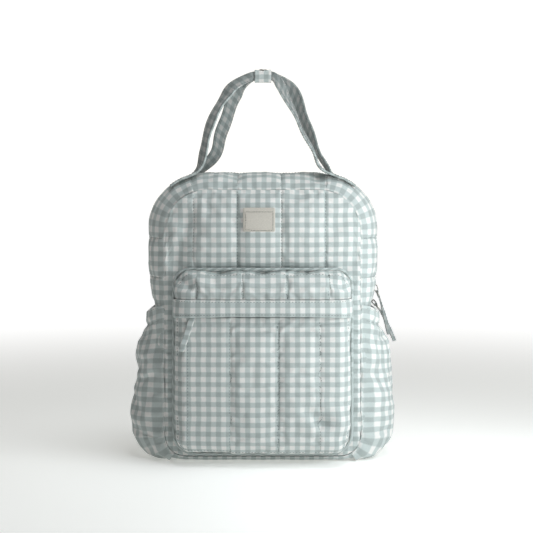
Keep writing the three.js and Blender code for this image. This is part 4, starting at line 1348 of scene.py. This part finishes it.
def torus(bm, radius, wire, centre, down, face=0):
    turn = ringTurn(down, face)
    upright = Matrix.Translation((radius, 0, 0)) @ Matrix.Rotation(math.pi / 2, 4, "X")
    made = bmesh.ops.create_circle(bm, segments=10, radius=wire, matrix=upright)
    loop = made["verts"]
    edges = list({e for v in loop for e in v.link_edges})
    bmesh.ops.spin(bm, geom=loop + edges, cent=(0, 0, 0), axis=(0, 0, 1), angle=2 * math.pi, steps=36, use_merge=True)
    bmesh.ops.remove_doubles(bm, verts=bm.verts, dist=0.00001)
    bmesh.ops.transform(bm, matrix=Matrix.Translation(centre) @ turn, verts=bm.verts)


def squareRing(bm, half, wire, centre, down, face=0):
    turn = ringTurn(down, face)
    outer = 2 * (half + wire)
    cube(bm, (0, 0, 0), (outer, outer, 2 * wire))
    soften(bm, [e for e in bm.edges if abs(e.verts[0].co.z - e.verts[1].co.z) > wire], 0.0012, 3)
    flats = [f for f in bm.faces if abs(f.normal.z) > 0.9]
    bmesh.ops.inset_individual(bm, faces=flats, thickness=2 * wire)
    loops = [list(f.edges) for f in flats]
    bmesh.ops.delete(bm, geom=flats, context="FACES_ONLY")
    bmesh.ops.bridge_loops(bm, edges=loops[0] + loops[1])
    soften(bm, [e for e in bm.edges if len(e.link_faces) == 2 and e.calc_face_angle(0) > 1.2], wire * 0.55)
    bmesh.ops.transform(bm, matrix=Matrix.Translation(centre) @ turn, verts=bm.verts)


def swung(degrees):  # a way down, swung out to the right
    angle = math.radians(degrees)
    return Vector((math.sin(angle), 0, -math.cos(angle)))


def sliderSet(name):
    kind = slider[name]
    low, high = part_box(f"zip_slider_{name}")
    seat = Vector((low.x, (low.y + high.y) / 2, (low.z + high.z) / 2))
    body = bmesh.new()
    for place, long, wide in ((0, 1.0, 1.0), (slider["plate"] + slider["gap"], 0.94, 0.92)):
        size = (slider["plate"], slider["width"] * wide, slider["length"] * long)
        cube(body, (place + slider["plate"] / 2, 0, 0), size)
    middle = slider["plate"] + slider["gap"] / 2
    size = (slider["gap"] * 1.2, slider["width"] * 0.4, slider["length"] * 0.5)
    cube(body, (middle, 0, slider["length"] * 0.2), size)
    soften(body, body.edges, 0.0004)
    lug = bmesh.new()
    torus(lug, 0.0019, 0.0006, Vector((slider["eyeHeight"] - 0.0008, 0, 0.0008)), Vector((0, 0, -1)))
    bmesh.ops.transform(lug, matrix=Matrix.Rotation(math.pi / 2, 4, "X"), verts=lug.verts)
    join(body, lug)
    top = (low.x + high.x) / 2
    lean = Matrix.Rotation(0.10, 4, "Y")
    bmesh.ops.transform(body, matrix=Matrix.Translation((top - 0.0032, seat.y, seat.z)) @ lean, verts=body.verts)
    title = name.title()
    dress(newPiece(f"zipSlider{title}", body), gunMetal, [f"zip_slider_{name}"], thick=0, levels=0)

    low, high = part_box(f"zip_ring_{name}")
    centre = (low + high) / 2
    down = swung(kind["hang"])
    link = bmesh.new()
    reach = slider["ringRadius"] if kind["round"] else slider["ringRadius"] * 0.707
    (torus if kind["round"] else squareRing)(link, reach, slider["wire"], centre, down, kind["face"])
    start = centre + down * reach
    heads = swung(kind["headings"][0])
    clip = bmesh.new()
    cube(clip, (0, 0, 0), slider["clip"])
    soften(clip, clip.edges, 0.0004)
    turn = ringTurn(heads, 90).to_3x3().to_4x4()
    bmesh.ops.transform(clip, matrix=Matrix.Translation(start + heads * 0.0042) @ turn, verts=clip.verts)
    join(link, clip)
    dress(newPiece(f"zipRing{title}", link), gunMetal, [f"zip_ring_{name}"], thick=0, levels=0)

    steps = 26
    spine = [start + heads * 0.0030]
    sides = []
    for k in range(steps + 1):
        run = swung(lerp(kind["headings"][1], kind["headings"][0], (1 - k / steps) ** 2))
        sides.append(Vector((-run.z, 0, run.x)))
        spine.append(spine[-1] + run * (kind["long"] - 0.003) / steps)
    half = slider["pullPly"] * 0.62
    outer = [spot + side * half for spot, side in zip(spine, sides)]
    inner = [spot - side * half for spot, side in zip(spine, sides)]
    bend = []
    for k in range(9):
        turn = lerp(-0.80, 0.80, k / 8) * math.pi
        way = Matrix.Rotation(turn, 3, "Y") @ -heads
        bend.append(start + way * 0.0018)
    if (bend[0] - outer[0]).length > (bend[-1] - outer[0]).length:
        bend.reverse()
    line = outer[::-1] + bend + inner

    def place(wide, s):
        spot = rounded(line, s)
        fall = smooth((spot - start).length, 0.002, 0.012)
        width = lerp(slider["pullNeck"], slider["pullWidth"], fall)
        drop = clamp((spot - start).length / kind["long"])
        twist = math.radians(kind["twist"]) * smooth(drop, 0.05, 0.7)
        bow = 0.0005 * math.sin(drop * 9) * (1 - (2 * wide) ** 2)
        aside = Vector((math.sin(twist), math.cos(twist), 0)) * wide * width
        core = rounded(spine, clamp(drop))
        ply = Matrix.Rotation(-twist, 3, "Z") @ (spot - core)
        return core + ply + aside + Vector((bow, kind["side"] * fall, 0)) - home

    columns, rows = spaced([-0.5, 0.5], 0.2), spaced([0, 1], 1 / 90)
    piece, _ = makeSheet(f"zipPull{title}", columns, rows, place, start=(0.0065, 0.002))
    # The pulls take the darker copy of the gingham: painted shade that keeps them from looking washed out under the
    # lights
    dress(piece, paintedShadeCloth, [f"zip_pull_{name}"], thick=slider["pullPly"] * 0.85, offset=0)


for name in ("upper", "lower"):
    sliderSet(name)
print("zip sliders and pulls made")


# Pocket pull: a doubled tab that hangs out from under the flap

tab = {"x": -0.091, "top": 0.2052, "long": 0.051, "width": 0.008, "lean": 0.016, "thick": 0.0024, "lift": 0.0028}
panelSurface = surfaceOf(panel)


def tabPlace(wide, s):
    x = tab["x"] - tab["lean"] * s ** 1.15 + wide * tab["width"] * lerp(0.8, 1, smooth(s, 0, 0.3))
    z = tab["top"] - tab["long"] * s - 0.0016 * wide
    faces = []
    for dx in (-0.004, 0, 0.004):
        hit = panelSurface[0].ray_cast(Vector((x + dx, -0.3, z)) + home, Vector((0, 1, 0)))[0]
        faces.append(hit.y - home.y if hit else frontAt(z) - pocket["depth"])
    lift = tab["lift"] * smooth(s, 0.15, 1) + 0.0009 * math.sin(s * 9)
    return Vector((x, min(faces) - tab["thick"] * 0.6 - lift, z))


tabPiece, _ = makeSheet("pocketPull", spaced([-0.5, 0.5], 0.25), spaced([1, 0], 0.05), tabPlace, start=(0.0065, 0))
dress(tabPiece, quiltCloth, ["front_pocket_pull"], thick=tab["thick"], offset=0)
print("pocket pull made")


# Rows of stitches

def many(a, b, count):
    return [lerp(a, b, k / count) for k in range(count + 1)]


def onPocket(points):
    return [pocketPlace(x, z, [], 0, 1) for x, z in points]


def onRim(s, t, quilt):
    spot, out = rim.at(s)
    return overRim(spot, out, t, gussetOffset(spot.y, out, t, quilt))


def cornerArc(side, level, corner, up):  # a quarter turn from the side to the foot or top, on either side
    bends = [(1 - math.cos(a), math.sin(a)) for a in many(0, math.pi / 2, 12)]
    return [(side * (abs(level[0]) - corner * x), level[1] + up * corner * z) for x, z in bends]


def edgeLine(inset, ends, up):  # round one end of the pocket, inside its edge
    half = pocketLine.halfWidth - inset
    corner = (pocketLine.topCorner if up > 0 else pocketLine.footCorner) - inset
    turn = pocketLine.top - inset - corner if up > 0 else pocketLine.foot + inset + corner
    left, right = (cornerArc(side, (half, turn), corner, up) for side in (-1, 1))
    rise = many(ends, turn, 20)
    flatEdge = [(x, turn + up * corner) for x in many(corner - half, half - corner, 60)]
    return [(-half, z) for z in rise] + left + flatEdge + right[::-1] + [(half, z) for z in rise[::-1]]


sew("frontStitches", [
    (frontSurface, [Vector((x, frontFace(x, z), z)) for z in many(0.2615, bodyLine.topAt(x) - 0.001, 60)])
    for x in channels
])

lines = [[(x, z) for z in many(pocketLine.footAt(x) + 0.004, 0.197, 90)] for x in pocket["panelSeams"]]
lines.append(edgeLine(0.0044, 0.196, -1))
sew("pocketPanelStitches", [(panelSurface, onPocket(line)) for line in lines])

bandSurface = surfaceOf(band)
lines = [[(x, z) for z in many(0.2225, 0.2545, 20)] for x in pocket["bandSeams"]]
lines.append(edgeLine(0.0044, 0.223, 1))
sew("pocketBandStitches", [(bandSurface, onPocket(line)) for line in lines])

flapSurface = surfaceOf(flapPiece)
reachX = pocketLine.halfWidth - 0.004
sew("pocketFlapStitches", [
    (flapSurface, [flapPlace(x, v) + Vector((0, -0.003, 0)) for x in many(-reachX, reachX, 90)])
    for v in (0.14, 0.93)
])

topSurface = surfaceOf(*[bpy.data.objects[name] for name in ("gussetTopFront", "gussetTopBack")])
lines = [
    [onRim(s, t, 0) for t in many(*ends, 12)]
    for s in upperSeams for ends in ((0.03, 0.5 - zipShare - 0.01), (0.5 + zipShare + 0.01, 0.97))
]
for t in (0.5 - zipShare - 0.018, 0.5 + zipShare + 0.018):
    lines.append([onRim(s, t, 1) for s in many(0.002, rim.upper - 0.002, 160)])
sew("gussetStitches", [(topSurface, line) for line in lines])

backSurface = surfaceOf(backPanel)
sew("backStitches", [
    (backSurface, [Vector((x, backFace(x, z), z)) for z in many(0.012, bodyLine.topAt(x) - 0.002, 90)])
    for x in channels
])

seams = []
for side, name in ((-1, "sidePocketLeft"), (1, "sidePocketRight")):
    pouchSurface = surfaceOf(bpy.data.objects[name])
    for drop in (pouch["casing"] / pouch["tall"], 0.0035 / pouch["tall"]):
        seams.append((pouchSurface, [pouchPlace(side, t, 1 - drop) for t in many(0.05, 0.95, 70)]))
sew("sidePocketStitches", seams)

seams = []
for piece, place in handles:
    surface = surfaceOf(piece)
    for wide, facing, ends in product((-0.37, 0.37), (-1, 1), ((0.004, 0.47), (0.53, 0.996))):
        line = []
        for s in many(*ends, 110):
            run = (place(wide, s + 0.003) - place(wide, s - 0.003)).normalized()
            edge = (place(wide + 0.05, s) - place(wide - 0.05, s)).normalized()
            line.append(place(wide, s) + run.cross(edge) * facing * handle["thick"])
        seams.append((surface, line))
    for end in (0.004, 0.030, 0.970, 0.996):
        over = Vector((math.copysign(0.003, end - 0.5), 0, 0.004))
        seams.append((surface, [place(wide, end) + over for wide in many(-0.37, 0.37, 8)]))
sew("handleStitches", seams)

labelSurface = surfaceOf(labelPiece)
x0, x1 = (label["x"] + side * (label["width"] / 2 - label["margin"]) for side in (-1, 1))
z0, z1 = label["top"] - label["height"] + label["margin"], label["top"] - label["margin"]
corners = [(x0, z0), (x1, z0), (x1, z1), (x0, z1), (x0, z0)]
sew("labelStitches", [
    (labelSurface, [Vector((x, -0.09, z)) for x, z in zip(many(a[0], b[0], 20), many(a[1], b[1], 20))])
    for a, b in zip(corners, corners[1:])
], labelThread, labelStitch)

seams = []
for piece, place in straps:
    surface = surfaceOf(piece)
    for wide in (-0.43, 0.43):
        line = [place(wide, s) + Vector((0, strap["thick"] / 2, 0)) for s in many(0.02, 0.98, 60)]
        seams.append((surface, line))
sew("strapStitches", seams)
print("stitches sewn")

# Camera, light and floor

view = {"distance": 1.7, "elevation": 3, "aimX": 0.0049, "aimZ": 0.260, "lens": 82.8}
aim = Vector((home.x + view["aimX"], home.y, view["aimZ"]))
rise = math.radians(view["elevation"])
camera = bpy.data.objects.new("camera", bpy.data.cameras.new("camera"))
scene.collection.objects.link(camera)
camera.data.lens = view["lens"]
camera.location = aim + Vector((0, -math.cos(rise), math.sin(rise))) * view["distance"]
camera.rotation_euler = (aim - camera.location).to_track_quat("-Z", "Y").to_euler()
scene.camera = camera


def softLight(name, azimuth, elevation, distance, size, watts, target, colour):
    lamp = bpy.data.objects.new(name, bpy.data.lights.new(name, "AREA"))
    lamp.data.shape = "SQUARE"
    lamp.data.size, lamp.data.energy, lamp.data.color = size, watts, colour
    a, e = math.radians(azimuth), math.radians(elevation)
    way = Vector((math.sin(a) * math.cos(e), -math.cos(a) * math.cos(e), math.sin(e)))
    lamp.location = Vector(target) + way * distance
    lamp.rotation_euler = (Vector(target) - lamp.location).to_track_quat("-Z", "Y").to_euler()
    scene.collection.objects.link(lamp)


softLight("keyLight", 50, 20, 0.52, 0.34, 2.1, (0.04, -0.06, 0.12), (0.93, 0.985, 1))
softLight("topLight", 40, 76, 1.1, 0.8, 8.5, (0.06, 0, 0.3), (0.95, 0.99, 1))

# The room is bright behind the bag and dimmer on the camera's side
room = {"front": 0.08, "behind": 1.1}
world = bpy.data.worlds.new("studio")
world.use_nodes = True
sky = Nodes(world.node_tree)
toBack = sky.add("ShaderNodeSeparateXYZ", {0: sky.add("ShaderNodeTexCoord", {}, "Generated")}, "Y")
ramp = {0: toBack, 1: 0.45, 2: 0.93, 3: room["front"], 4: room["behind"]}
strength = sky.add("ShaderNodeMapRange", ramp, interpolation_type="SMOOTHSTEP")
backdrop = sky.tree.nodes["Background"]
sky.tree.links.new(strength.out, backdrop.inputs["Strength"])
backdrop.inputs["Color"].default_value = (1, 0.985, 0.945, 1)
scene.world = world

floorShape = bmesh.new()
bmesh.ops.create_grid(floorShape, x_segments=1, y_segments=1, size=40)
floor = newPiece("floor", floorShape, False)
floorFinish = Finish("floorFinish", 0.9, **{"Base Color": (0.9, 0.9, 0.9, 1), "Emission Color": (1, 1, 1, 1)})
# The floor glows, a painted light: dim near the bag and brighter far off, so that the far floor reads white
far = floorFinish.add("ShaderNodeVectorMath", {0: floorFinish.objectPlace()}, "Value", operation="LENGTH")
fade = {0: far, 1: 0.45, 2: 2.2, 3: 0.0, 4: 1.0}
glow = floorFinish.add("ShaderNodeMapRange", fade, interpolation_type="SMOOTHSTEP")
floorFinish.to("Emission Color", floorFinish.mix(glow, (0.28, 0.28, 0.265, 1), (0.85, 0.85, 0.85, 1)))
floorFinish.shader.inputs["Emission Strength"].default_value = 1
floor.data.materials.append(floorFinish.material)
print("camera and light set")
